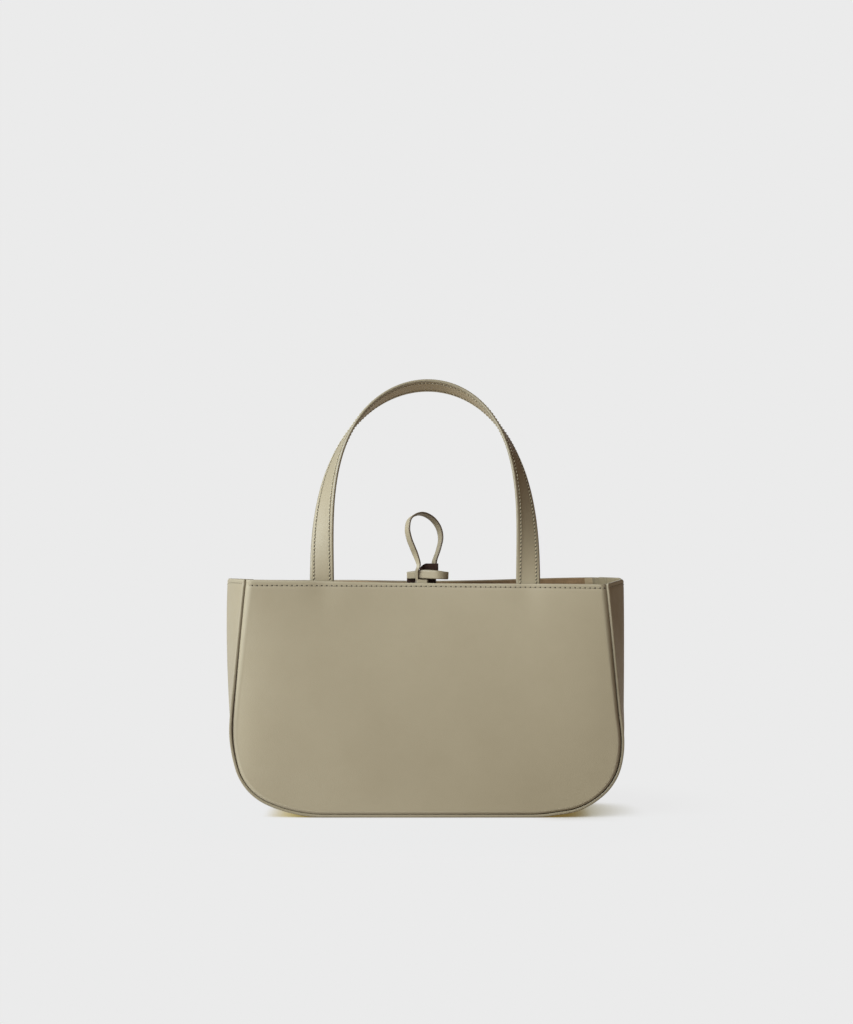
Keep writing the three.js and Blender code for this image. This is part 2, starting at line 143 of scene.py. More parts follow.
def bell(x: Array, half_width: float) -> Array:
    """Fall from one at the middle to zero at a half width.

    Args:
        x: Distance from the middle.
        half_width: Where the bell reaches zero.

    Returns:
        The height of the bell.
    """
    return np.cos(np.clip(x / half_width, -1, 1) * math.pi / 2) ** 2


def arc_lengths(line: Array) -> Array:
    """Measure a line from its start.

    Args:
        line: Points along the line.

    Returns:
        The length up to each point.
    """
    steps = np.linalg.norm(np.diff(line, axis=0), axis=1)
    return np.concatenate([[0.0], np.cumsum(steps)])


def sample(values: Array, at: Array, wanted: Array) -> Array:
    """Read rows of numbers between the places where they are known.

    Args:
        values: Rows of numbers.
        at: Rising place of each row.
        wanted: Places to read.

    Returns:
        One row for each wanted place.
    """
    columns = [np.interp(wanted, at, values[:, k]) for k in range(values.shape[1])]
    return np.stack(columns, axis=-1)


def smooth_path(rows: Array, steps: int) -> Array:
    """Draw a centripetal Catmull-Rom curve through rows of numbers.

    Args:
        rows: At least two rows; the first three columns are a place.
        steps: Points for each span.

    Returns:
        Rows along the curve.
    """
    ends = np.concatenate([[2 * rows[0] - rows[1]], rows, [2 * rows[-1] - rows[-2]]])
    gaps = np.sqrt(np.linalg.norm(np.diff(ends[:, :3], axis=0), axis=1))
    t = np.linspace(0, 1, steps, endpoint=False)[:, None]
    out = []
    for k in range(len(rows) - 1):
        p0, p1, p2, p3 = ends[k:k + 4]
        d0, d1, d2 = gaps[k:k + 3]
        start = ((p1 - p0) / d0 - (p2 - p0) / (d0 + d1) + (p2 - p1) / d1) * d1
        stop = ((p2 - p1) / d1 - (p3 - p1) / (d1 + d2) + (p3 - p2) / d2) * d1
        cubic = 2 * p1 - 2 * p2 + start + stop
        square = 3 * p2 - 3 * p1 - 2 * start - stop
        out.append(cubic * t ** 3 + square * t ** 2 + start * t + p1)
    return np.concatenate(out + [rows[-1:]])


def grid_quads(number: Array) -> Array:
    """List the four-sided faces of a grid.

    Args:
        number: Point numbers in rows and columns.

    Returns:
        Four point numbers for each face.
    """
    corners = (number[:-1, :-1], number[:-1, 1:], number[1:, 1:], number[1:, :-1])
    return np.stack(corners, axis=-1).reshape(-1, 4)


@dataclass
class Shape:
    """Points in millimetres with wear and a place in the pattern, and faces with a finish for each."""

    points: Array
    faces: list[list[int]]
    finish: list[int]
    wear: Array
    pattern: Array

    @staticmethod
    def joined(shapes: Sequence["Shape"]) -> "Shape":
        """Put several shapes into one.

        Args:
            shapes: What to join.

        Returns:
            One shape with all points and faces.
        """
        starts = np.cumsum([0] + [len(shape.points) for shape in shapes])
        return Shape(
            np.concatenate([shape.points for shape in shapes]),
            [[int(start) + i for i in face] for shape, start in zip(shapes, starts) for face in shape.faces],
            [number for shape in shapes for number in shape.finish],
            np.concatenate([shape.wear for shape in shapes]),
            np.concatenate([shape.pattern for shape in shapes]),
        )

    def piece(self, name: str, materials: Sequence[Material], slot: Slot, nodes: Sequence[str] = ()) -> None:
        """Make the mesh object and fix it to the bag.

        Args:
            name: Name of the piece.
            materials: Materials in the order of the finish numbers.
            slot: Record slot of the piece; not used.
            nodes: Solids that the piece stands for.
        """
        mesh = bpy.data.meshes.new(name)
        mesh.from_pydata((self.points * MM).tolist(), [], self.faces)
        for material in materials:
            mesh.materials.append(material)
        mesh.polygons.foreach_set("material_index", self.finish)
        mesh.polygons.foreach_set("use_smooth", [True] * len(mesh.polygons))
        wear = mesh.attributes.new("wear", "FLOAT", "POINT")
        wear.data.foreach_set("value", self.wear.astype(np.float32))
        corners = np.zeros(len(mesh.loops), np.int32)
        mesh.loops.foreach_get("vertex_index", corners)
        layer = mesh.uv_layers.new(name="pattern")
        layer.data.foreach_set("uv", self.pattern[corners].astype(np.float32).ravel())
        mesh.validate()
        mesh.update()
        made = bpy.data.objects.new(name, mesh)
        bpy.context.scene.collection.objects.link(made)
        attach(made, BODY)
        if nodes:
            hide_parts(*nodes)
        LOG.info("%s: %d faces", name, len(self.faces))


@dataclass
class Sheet:
    """An open surface of four-sided faces that look outwards, with a wall thickness at each point."""

    points: Array
    quads: Array
    wear: Array
    wall: Array

    def normals(self) -> Array:
        """Average the facing of the faces round each point.

        Returns:
            One unit direction for each point.
        """
        a, b, c, d = (self.points[self.quads[:, k]] for k in range(4))
        facing = np.cross(c - a, d - b)
        total = np.zeros_like(self.points)
        for k in range(4):
            np.add.at(total, self.quads[:, k], facing)
        return unit(total)

    def border(self) -> Array:
        """Find the edges that only one face has.

        Returns:
            First and last point number of each edge, in the direction of its face.
        """
        edges = np.concatenate([self.quads[:, [k, (k + 1) % 4]] for k in range(4)])
        count = len(self.points)
        forward = edges[:, 0] * count + edges[:, 1]
        backward = edges[:, 1] * count + edges[:, 0]
        return edges[~np.isin(forward, backward)]

    def thicken(self, crown: float, rim_steps: int = 6) -> Shape:
        """Close the sheet into a wall with a rounded, painted rim.

        Args:
            crown: How far the rim swells past the border.
            rim_steps: Faces across the rim.

        Returns:
            The closed wall.
        """
        normals = self.normals()
        through = normals * self.wall[:, None]
        border = self.border()
        count = len(self.points)
        along = unit(self.points[border[:, 1]] - self.points[border[:, 0]])
        outward = np.zeros_like(self.points)
        for k in range(2):
            np.add.at(outward, border[:, k], np.cross(along, normals[border[:, k]]))
        rim = np.unique(border)
        place = np.zeros(count, int)
        place[rim] = np.arange(len(rim))
        middle = self.points[rim] - through[rim] / 2
        swell = unit(outward[rim]) * crown
        points = [self.points, self.points - through]
        loops = [rim]
        for step in range(1, rim_steps):
            angle = math.pi * step / rim_steps
            points.append(middle + through[rim] / 2 * math.cos(angle) + swell * math.sin(angle))
            loops.append(2 * count + (step - 1) * len(rim) + np.arange(len(rim)))
        loops.append(rim + count)
        start, end = place[border[:, 0]], place[border[:, 1]]
        rim_quads = np.concatenate([
            np.stack([near[end], near[start], far[start], far[end]], axis=1)
            for near, far in zip(loops, loops[1:])
        ])
        quads = np.concatenate([self.quads, self.quads[:, ::-1] + count, rim_quads])
        sizes = (len(self.quads), len(self.quads), len(rim_quads))
        finish = np.repeat([Face.OUTSIDE, Face.INSIDE, Face.EDGE], sizes).tolist()
        everything = np.concatenate(points)
        wear = np.concatenate([self.wear, self.wear, np.ones(len(rim) * (rim_steps - 1))])
        return Shape(everything, quads.tolist(), finish, wear, everything[:, [0, 2]])


@dataclass(frozen=True)
class Stretch:
    """One stretch of the seam outline: its length, how far it turns, and its faces."""

    length: float
    turn_deg: float
    steps: int


@dataclass(frozen=True)
class PanelForm:
    """How one panel stands: which way it faces, and how its top edge is drawn in, hangs and is sewn.

    Corner drops are those of the left and the right corner. The row drops under the rim at the left, the
    middle and the right.
    """

    name: str
    side: Side
    draw_in: float
    sag: float
    corner_drop: tuple[float, float]
    left_dip: float
    row_drop: tuple[float, float, float]
    foot_dent: float
    seam_open: float
    seed: int


FRONT = PanelForm("front_panel", Side.FRONT, draw_in=4.5, sag=0.85, corner_drop=(-0.4, 1.15), left_dip=0.0,
                  row_drop=(3.8, 2.2, 2.65), foot_dent=0.8, seam_open=0.3, seed=4)
BACK = PanelForm("back_panel", Side.BACK, draw_in=22.0, sag=1.3, corner_drop=(0.0, -0.5), left_dip=1.1,
                 row_drop=(3.5, 3.5, 3.5), foot_dent=0.0, seam_open=0.0, seed=9)


@dataclass(frozen=True)
class Seam:
    """Stations along the seam from the left rim round the base to the right rim, with outward normals."""

    x: Array
    z: Array
    nx: Array
    nz: Array
    base_steps: int = 0
    flank_steps: int = 0


@dataclass(frozen=True)
class BodyForm:
    """Driving sizes of the sewn body in millimetres, and the surfaces that follow from them."""

    leather: float = 2.0
    seam_gap: float = 0.35
    seam_touch: float = 0.07
    top_height: float = 165.0
    base: tuple[Stretch, ...] = (Stretch(72, 0, 25), Stretch(41, 24, 20), Stretch(16.6, 25, 15))
    flank: tuple[Stretch, ...] = (Stretch(16.6, 25, 15), Stretch(29.9, 21.4, 20))
    side_steps: int = 36
    hem: float = 8.0
    hem_steps: int = 16
    rim_half_width: float = 126.0
    gusset_half_width: float = 42.0
    # Folds of the left and the right side
    fold_out: tuple[float, float] = (14.6, 13.8)
    fold_start: tuple[float, float] = (55.0, 35.0)
    fold_ease: tuple[float, float] = (0.5, 0.25)
    fold_softness: float = 0.1
    crease_softness: float = 0.22
    # Where the gusset's cut edge ends beside the panel's face; below zero it stays behind it
    edge_proud: float = -1.3
    # A panel's bent edge at the base and at the rim
    bend_radius: tuple[float, float] = (2.4, 4.5)
    flange: float = 8.0
    belly: float = 3.2
    belly_power: float = 8.0
    # Share of the belly that is gone at the left and the right edge
    belly_fall: tuple[float, float] = (1.0, 0.35)
    draw_power: float = 2.5
    sag_power: float = 4.0
    # Dents where the handle's feet press
    dent_at: float = 72.0
    dent_width: float = 10.0
    dent_drop: float = 18.0
    rim_twist: float = 0.55
    rim_tilt: float = 0.35
    fold_fall: float = 2.0
    fold_fall_half: float = 9.0
    # Height of the gusset's rim at the front seam, the crease and the back seam
    left_rim: tuple[float, float, float] = (0.3, 0.4, -1.1)
    right_rim: tuple[float, float, float] = (-1.2, 1.2, 0.3)
    dip_span: tuple[float, float] = (42.0, 104.0)
    left_lean: float = 0.8
    base_shift: float = 1.7
    base_shift_heights: tuple[float, float] = (33.0, 78.0)
    corner_sit: float = 1.1
    corner_sit_at: float = 105.3
    corner_sit_half: float = 18.0
    corner_sit_heights: tuple[float, float] = (20.0, 45.0)
    groove_depth: float = 0.2
    groove_width: float = 1.15
    ripple: float = 0.11
    ripple_fade: float = 34.0
    ripple_count: int = 5
    ripple_lengths: tuple[float, float] = (55.0, 130.0)
    # Moves the gusset to another stretch of the front panel's waves
    ripple_shift: float = 500.0
    slope_step: float = 0.01

    @property
    def seam_height(self) -> float:
        """Height of the seam over the floor."""
        return self.leather + self.seam_gap

    def fold(self, z: Array, right: bool = True) -> Array:
        """Tell how far the gusset's crease stands out.

        Args:
            z: Heights.
            right: Whether it is the right crease.

        Returns:
            The reach of the crease at each height.
        """
        start = self.fold_start[right]
        share = (z - start) / (self.top_height - start)
        ease = 1 + self.fold_ease[right] * (1 - share)
        return self.fold_out[right] * soft_ramp(share, self.fold_softness) * ease

    def half_depth(self, z: Array) -> Array:
        """Tell half the depth of the bag at a height."""
        return np.sqrt(self.gusset_half_width ** 2 - self.fold(z) ** 2)

    def bend(self, z: Array) -> Array:
        """Tell the radius of a panel's bent edge, tight at the base and wide at the rim."""
        low, high = self.bend_radius
        return low + (high - low) * z / self.top_height

    def groove(self, distance: Array) -> Array:
        """Tell how deep a sewn row presses the leather at a distance from it."""
        return self.groove_depth * np.exp(-(distance / self.groove_width) ** 2)

    def row_z(self, panel: PanelForm, x: Array) -> Array:
        """Find the height of a panel's top row before the rim settles."""
        half = self.rim_half_width
        return self.top_height - np.interp(x, (-half, 0.0, half), panel.row_drop)

    def waves(self, x: Array, z: Array, seed: int) -> Array:
        """Add up a few slow waves, as soft leather has.

        Args:
            x: Places across.
            z: Places up.
            seed: Choice of waves.

        Returns:
            How far the leather stands out at each place.
        """
        chance = np.random.default_rng(seed)
        total = np.zeros_like(x)
        for _ in range(self.ripple_count):
            turn, phase = chance.uniform(0, 2 * math.pi, 2)
            length = chance.uniform(*self.ripple_lengths)
            across = x * math.cos(turn) + z * math.sin(turn)
            total = total + np.sin(2 * math.pi * across / length + phase)
        return self.ripple * total

    def face_y(self, panel: PanelForm, x: Array, z: Array) -> Array:
        """Find a panel's outer face.

        Args:
            panel: Which panel.
            x: Places across.
            z: Places up.

        Returns:
            Y of the face at each place.
        """
        draw = panel.draw_in * bell(x, self.rim_half_width) * (z / self.top_height) ** self.draw_power
        from_foot = (np.abs(x) - self.dent_at) / self.dent_width
        from_rim = (self.top_height - z) / self.dent_drop
        dent = panel.foot_dent * np.exp(-from_foot ** 2 - from_rim ** 2)
        groove = self.groove(self.row_z(panel, x) - z)
        fade = np.clip((self.rim_half_width - np.abs(x)) / self.ripple_fade, 0, 1)
        fade = fade * np.clip((z - self.seam_height) / self.ripple_fade, 0, 1)
        wave = fade * self.waves(x, z, panel.seed)
        height = np.clip((z - self.seam_height) / (self.top_height - self.seam_height), 0, 1)
        fall = np.where(x < 0, *self.belly_fall) * (x / self.rim_half_width) ** self.belly_power
        belly = self.belly * (1 - fall) * np.sin(math.pi * height)
        return panel.side * (self.half_depth(z) - draw - dent - groove + wave + belly)

    def inside_y(self, panel: PanelForm, x: float, z: Array, thick: float) -> Array:
        """Find the middle plane of a strip that lies against a panel's inner face.

        Args:
            panel: Which panel.
            x: Place across.
            z: Places up.
            thick: Thickness of the strip.

        Returns:
            Y of the plane at each place.
        """
        inward = self.leather + self.seam_gap + thick / 2
        return self.face_y(panel, np.full_like(z, x), z) - panel.side * inward

    def gusset_rim(self, x: Array, y: Array) -> Array:
        """Tell how far the gusset's rim stands over an even one.

        Args:
            x: Places across.
            y: Places from front to back.

        Returns:
            The height at each place.
        """
        places = (-self.gusset_half_width, 0.0, self.gusset_half_width)
        rim = np.where(x < 0, np.interp(y, places, self.left_rim), np.interp(y, places, self.right_rim))
        return rim - self.fold_fall * bell(y, self.fold_fall_half)

    def panel_rim(self, panel: PanelForm, x: Array) -> Array:
        """Tell how far a panel's rim stands over an even one.

        Args:
            panel: Which panel.
            x: Places across.

        Returns:
            The height at each place, mostly below zero.
        """
        left, right = panel.corner_drop
        drop = (left + right) / 2 + (right - left) / 2 * x / self.rim_half_width
        drop = drop + panel.left_dip * smooth_step(-x, *self.dip_span)
        return -(drop + panel.sag * bell(x, self.rim_half_width))

    def settled(self, points: Array, panel: PanelForm | None = None) -> Array:
        """Let the body stand as it does: rim twisted and sagging, base shifted, right corner on the floor.

        Args:
            points: Places on the body.
            panel: The panel that they are on, or none for the gusset.

        Returns:
            The places as they stand.
        """
        x, y, z = points.T
        share = z / self.top_height
        twist = (self.rim_twist * y / self.gusset_half_width - self.rim_tilt) * x / self.rim_half_width
        rim = self.gusset_rim(x, y) if panel is None else self.panel_rim(panel, x)
        under, over = self.corner_sit_heights
        sit = bell(x - self.corner_sit_at, self.corner_sit_half) * np.clip((over - z) / (over - under), 0, 1)
        rise = twist * share ** 2 + rim * share ** self.sag_power - self.corner_sit * sit
        bottom, top = self.base_shift_heights
        aside = self.base_shift * smooth_step(-z, -top, -bottom)
        aside = aside + self.left_lean * np.clip(-x / self.rim_half_width, 0, 1) * share ** 2
        return np.stack([x + aside, y, z + rise], axis=1)

    def seam(self) -> Seam:
        """Walk the seam outline from the middle of the base to the right rim, and mirror it.

        Returns:
            The stations of the whole seam.
        """
        rows = []
        x, z, heading = 0.0, self.seam_height, 0.0

        def walk(length: float, turn_deg: float, steps: int) -> None:
            """Add the stations of one stretch.

            Args:
                length: Length of the stretch.
                turn_deg: How far it turns.
                steps: Its stations.
            """
            nonlocal x, z, heading
            turn = math.radians(turn_deg) / steps
            arc = length / steps
            chord = arc if turn == 0 else 2 * arc / turn * math.sin(turn / 2)
            for _ in range(steps):
                rows.append((x, z, math.sin(heading), -math.cos(heading)))
                x += chord * math.cos(heading + turn / 2)
                z += chord * math.sin(heading + turn / 2)
                heading += turn

        for stretch in self.base + self.flank:
            walk(stretch.length, stretch.turn_deg, stretch.steps)
        walk((self.top_height - self.hem - z) / math.sin(heading), 0, self.side_steps)
        walk(self.hem / math.sin(heading), 0, self.hem_steps)
        rows.append((x, self.top_height, math.sin(heading), -math.cos(heading)))
        half = np.array(rows)
        mirrored = half[:0:-1] * np.array([-1, 1, -1, 1])
        flank_steps = sum(s.steps for s in self.flank) + self.side_steps + self.hem_steps
        return Seam(*np.concatenate([mirrored, half]).T, 2 * sum(s.steps for s in self.base), flank_steps)

    def gusset_points(self, seam: Seam, across: Array) -> Array:
        """Find the gusset's outer face.

        Args:
            seam: Seam stations.
            across: For each station, from the front edge at -1 to the back edge at 1.

        Returns:
            One point for each station.
        """
        soft = math.hypot(1, self.crease_softness) - self.crease_softness
        crest = 1 - (np.hypot(across, self.crease_softness) - self.crease_softness) / soft
        y = across * (self.half_depth(seam.z) + self.edge_proud)
        wave = self.waves(y + self.ripple_shift, seam.z, FRONT.seed) * (1 - across ** 2) * np.abs(seam.nx)
        fold = np.where(seam.x < 0, self.fold(seam.z, right=False), self.fold(seam.z))
        bulge = fold * crest + wave
        x = seam.x + seam.nx * (self.seam_height + bulge)
        return np.stack([x, y, seam.z + seam.nz * self.seam_height], axis=1)

    def gusset_normals(self, seam: Seam, across: Array) -> Array:
        """Find which way the gusset's outer face looks.

        Args:
            seam: Seam stations.
            across: For each station, from the front edge at -1 to the back edge at 1.

        Returns:
            One unit direction for each station.
        """
        step = self.slope_step
        slope = self.gusset_points(seam, across + step) - self.gusset_points(seam, across - step)
        along = np.stack([-seam.nz, np.zeros_like(seam.x), seam.nx], axis=1)
        return unit(np.cross(slope, along))

    def flange_points(self, panel: PanelForm, seam: Seam, depth: Array) -> Array:
        """Find the outer face of a panel's flange, just inside the gusset.

        Args:
            panel: Which panel.
            seam: Seam stations.
            depth: Distance behind the panel's face at each station.

        Returns:
            One point for each station.
        """
        reach = self.half_depth(seam.z) + self.edge_proud
        across = panel.side * (1 - (depth + self.edge_proud) / reach)
        outward = self.gusset_normals(seam, across)
        gap = self.seam_touch + panel.seam_open * np.clip(seam.x / self.rim_half_width, 0, 1)
        return self.gusset_points(seam, across) - outward * (self.leather + gap)[:, None]


def linear(hex_colour: str) -> tuple[float, float, float, float]:
    """Turn an sRGB hex colour into linear light.

    Args:
        hex_colour: Six hex digits after a hash.

    Returns:
        Red, green, blue and alpha.
    """
    channels = [int(hex_colour[k:k + 2], 16) / 255 for k in (1, 3, 5)]
    light = [c / 12.92 if c <= 0.04045 else ((c + 0.055) / 1.055) ** 2.4 for c in channels]
    return light[0], light[1], light[2], 1.0


def add_node(tree: Tree, kind: str, inputs: dict[str | int, Any] | None = None, output: str | int = 0,
             **settings: Any) -> Socket | None:
    """Add a node with its settings and links.

    Args:
        tree: Node tree to add to.
        kind: Blender's name of the node type.
        inputs: For each input, a value or the output socket that feeds it.
        output: Which output is wanted.
        settings: Properties of the node.

    Returns:
        The wanted output socket, or none where the node has no outputs.
    """
    node = tree.nodes.new(kind)
    for name, value in settings.items():
        setattr(node, name, value)
    for key, value in (inputs or {}).items():
        if isinstance(value, Socket):
            tree.links.new(value, node.inputs[key])
        else:
            node.inputs[key].default_value = value
    return node.outputs[output] if len(node.outputs) else None


# What a mix node needs to mix colours: its inputs, and its output and setting
MIX_FACTOR, MIX_A, MIX_B = 0, 6, 7
COLOURS = {"output": 2, "data_type": "RGBA"}
# What makes a range node leave and reach its ends softly
SOFTLY = {"interpolation_type": "SMOOTHSTEP"}


@dataclass(frozen=True)
class Finish:
    """A finish, named for what it really is."""

    name: str

    def material(self) -> Material:
        """Make the material.

        Returns:
            A node material with the look of the finish.
        """
        made = bpy.data.materials.new(self.name)
        made.use_nodes = True
        made.node_tree.nodes.clear()
        shader = self.shader(made.node_tree)
        add_node(made.node_tree, "ShaderNodeOutputMaterial", {"Surface": shader})
        return made

    def shader(self, tree: Tree) -> Socket:
        """Add the nodes that give the look; each finish has its own."""
        raise NotImplementedError(self.name)


@dataclass(frozen=True)
class CalfLeather(Finish):
    """Smooth pigmented calf leather, plated in the tannery: an even matt skin with a tight, shallow grain."""

    colour: str
    shade: str
    worn: str
    roughness: tuple[float, float] = (0.46, 0.6)
    tone_mm: float = 26.0
    tone_span: tuple[float, float] = (0.3, 0.7)
    # Real grain is about 0.4 mm wide; it is drawn at twice that so that it shows at all
    grain_mm: float = 0.85
    crease_width: float = 0.22
    crease_shade: float = 0.3
    pore_mm: float = 0.3
    pore_height: float = 0.35
    relief_mm: float = 0.07
    relief_strength: float = 0.5
    ior: float = 1.48
    shine: float = 0.4
    sheen: float = 0.05
    sheen_roughness: float = 0.5

    def shader(self, tree: Tree) -> Socket:
        """Add slow tone changes, grain creases, pores and lighter worn edges.

        Args:
            tree: Node tree of the material.

        Returns:
            The shader.
        """
        place = add_node(tree, "ShaderNodeTexCoord", output="Object")
        tone = add_node(tree, "ShaderNodeTexNoise",
                        {"Vector": place, "Scale": 1 / (self.tone_mm * MM), "Detail": 3.0})
        cells = add_node(tree, "ShaderNodeTexVoronoi", {"Vector": place, "Scale": 1 / (self.grain_mm * MM)},
                         "Distance", feature="DISTANCE_TO_EDGE")
        creases = add_node(tree, "ShaderNodeMapRange",
                           {"Value": cells, "From Min": 0.0, "From Max": self.crease_width}, **SOFTLY)
        pores = add_node(tree, "ShaderNodeTexNoise",
                         {"Vector": place, "Scale": 1 / (self.pore_mm * MM), "Detail": 2.0})
        wear = add_node(tree, "ShaderNodeAttribute", output="Fac", attribute_name="wear")
        toned = add_node(tree, "ShaderNodeMix", {
            MIX_FACTOR: tone, MIX_A: linear(self.colour), MIX_B: linear(self.shade)}, **COLOURS)
        depth = add_node(tree, "ShaderNodeMapRange",
                         {"Value": creases, "To Min": self.crease_shade, "To Max": 0.0})
        grained = add_node(tree, "ShaderNodeMix", {
            MIX_FACTOR: depth, MIX_A: toned, MIX_B: linear(self.shade)}, **COLOURS)
        rubbed = add_node(tree, "ShaderNodeMath", {0: wear, 1: tone}, operation="MULTIPLY")
        colour = add_node(tree, "ShaderNodeMix", {
            MIX_FACTOR: rubbed, MIX_A: grained, MIX_B: linear(self.worn)}, **COLOURS)
        gloss = add_node(tree, "ShaderNodeMapRange", {
            "Value": tone, "From Min": self.tone_span[0], "From Max": self.tone_span[1],
            "To Min": self.roughness[0], "To Max": self.roughness[1]})
        height = add_node(tree, "ShaderNodeMath", {0: pores, 1: self.pore_height, 2: creases},
                          operation="MULTIPLY_ADD")
        bump = add_node(tree, "ShaderNodeBump", {
            "Height": height, "Strength": self.relief_strength, "Distance": self.relief_mm * MM})
        return add_node(tree, "ShaderNodeBsdfPrincipled", {
            "Base Color": colour, "Roughness": gloss, "Normal": bump, "IOR": self.ior,
            "Specular IOR Level": self.shine, "Sheen Weight": self.sheen,
            "Sheen Roughness": self.sheen_roughness})


@dataclass(frozen=True)
class FleshSide(Finish):
    """The split, brushed flesh side of leather: matt, fibrous and a little furry at a low angle."""

    colour: str
    fibre: str
    fibre_mm: float = 0.9
    fibre_roughness: float = 0.65
    combing: tuple[float, float, float] = (1.0, 1.0, 0.35)
    cloud_mm: float = 14.0
    fibre_span: tuple[float, float] = (0.1, 0.42)
    relief_mm: float = 0.16
    relief_strength: float = 0.7
    roughness: float = 0.92
    shine: float = 0.2
    sheen: float = 0.25
    sheen_roughness: float = 0.4

    def shader(self, tree: Tree) -> Socket:
        """Add fibres that are drawn out upwards, soft clouds and a sheen.

        Args:
            tree: Node tree of the material.

        Returns:
            The shader.
        """
        place = add_node(tree, "ShaderNodeTexCoord", output="Object")
        combed = add_node(tree, "ShaderNodeMapping", {"Vector": place, "Scale": self.combing})
        fibres = add_node(tree, "ShaderNodeTexNoise", {
            "Vector": combed, "Scale": 1 / (self.fibre_mm * MM), "Detail": 6.0,
            "Roughness": self.fibre_roughness})
        cloud = add_node(tree, "ShaderNodeTexNoise",
                         {"Vector": place, "Scale": 1 / (self.cloud_mm * MM), "Detail": 2.0})
        both = add_node(tree, "ShaderNodeMath", {0: fibres, 1: cloud}, operation="MULTIPLY")
        share = add_node(tree, "ShaderNodeMapRange", {
            "Value": both, "From Min": self.fibre_span[0], "From Max": self.fibre_span[1]})
        colour = add_node(tree, "ShaderNodeMix", {
            MIX_FACTOR: share, MIX_A: linear(self.colour), MIX_B: linear(self.fibre)}, **COLOURS)
        bump = add_node(tree, "ShaderNodeBump", {
            "Height": fibres, "Strength": self.relief_strength, "Distance": self.relief_mm * MM})
        return add_node(tree, "ShaderNodeBsdfPrincipled", {
            "Base Color": colour, "Roughness": self.roughness, "Normal": bump,
            "Specular IOR Level": self.shine, "Sheen Weight": self.sheen,
            "Sheen Roughness": self.sheen_roughness})


@dataclass(frozen=True)
class EdgePaint(Finish):
    """Acrylic edge paint, laid on cut leather in coats and buffed: smooth, satin, faintly wavy."""

    colour: str
    thin: str
    roughness: float = 0.4
    wave_mm: float = 3.5
    relief_mm: float = 0.15
    relief_strength: float = 0.3
    ior: float = 1.49
    shine: float = 0.45

    def shader(self, tree: Tree) -> Socket:
        """Add thin and thick places in the coat, and a soft wave in its skin.

        Args:
            tree: Node tree of the material.

        Returns:
            The shader.
        """
        place = add_node(tree, "ShaderNodeTexCoord", output="Object")
        coat = add_node(tree, "ShaderNodeTexNoise",
                        {"Vector": place, "Scale": 1 / (self.wave_mm * MM), "Detail": 3.0})
        colour = add_node(tree, "ShaderNodeMix", {
            MIX_FACTOR: coat, MIX_A: linear(self.colour), MIX_B: linear(self.thin)}, **COLOURS)
        bump = add_node(tree, "ShaderNodeBump", {
            "Height": coat, "Strength": self.relief_strength, "Distance": self.relief_mm * MM})
        return add_node(tree, "ShaderNodeBsdfPrincipled", {
            "Base Color": colour, "Roughness": self.roughness, "Normal": bump, "IOR": self.ior,
            "Specular IOR Level": self.shine})


@dataclass(frozen=True)
class WaxedThread(Finish):
    """Waxed polyester sewing thread, its plies twisted: a fine rope with a dull shine."""

    colour: str
    # Colour between the plies: painted shade in the grooves of the twist
    groove: str
    # The pattern runs over one full circle along a stitch of this length, and a ply shows this wide
    stitch_mm: float = 2.1
    ply_mm: float = 0.42
    unevenness: float = 0.6
    relief_mm: float = 0.1
    relief_strength: float = 0.6
    roughness: float = 0.55
    shine: float = 0.35
    sheen: float = 0.15
    sheen_roughness: float = 0.5

    def shader(self, tree: Tree) -> Socket:
        """Add plies that wind round the thread, with painted shade in the grooves between them.

        Args:
            tree: Node tree of the material.

        Returns:
            The shader.
        """
        place = add_node(tree, "ShaderNodeUVMap", uv_map="pattern")
        plies = self.stitch_mm / self.ply_mm
        wind = add_node(tree, "ShaderNodeTexWave", {
            "Vector": place, "Scale": plies / (2 * math.pi), "Distortion": self.unevenness},
            "Fac", wave_type="BANDS", bands_direction="DIAGONAL")
        colour = add_node(tree, "ShaderNodeMix", {
            MIX_FACTOR: wind, MIX_A: linear(self.groove), MIX_B: linear(self.colour)}, **COLOURS)
        bump = add_node(tree, "ShaderNodeBump", {
            "Height": wind, "Strength": self.relief_strength, "Distance": self.relief_mm * MM})
        return add_node(tree, "ShaderNodeBsdfPrincipled", {
            "Base Color": colour, "Roughness": self.roughness, "Normal": bump,
            "Specular IOR Level": self.shine, "Sheen Weight": self.sheen,
            "Sheen Roughness": self.sheen_roughness})


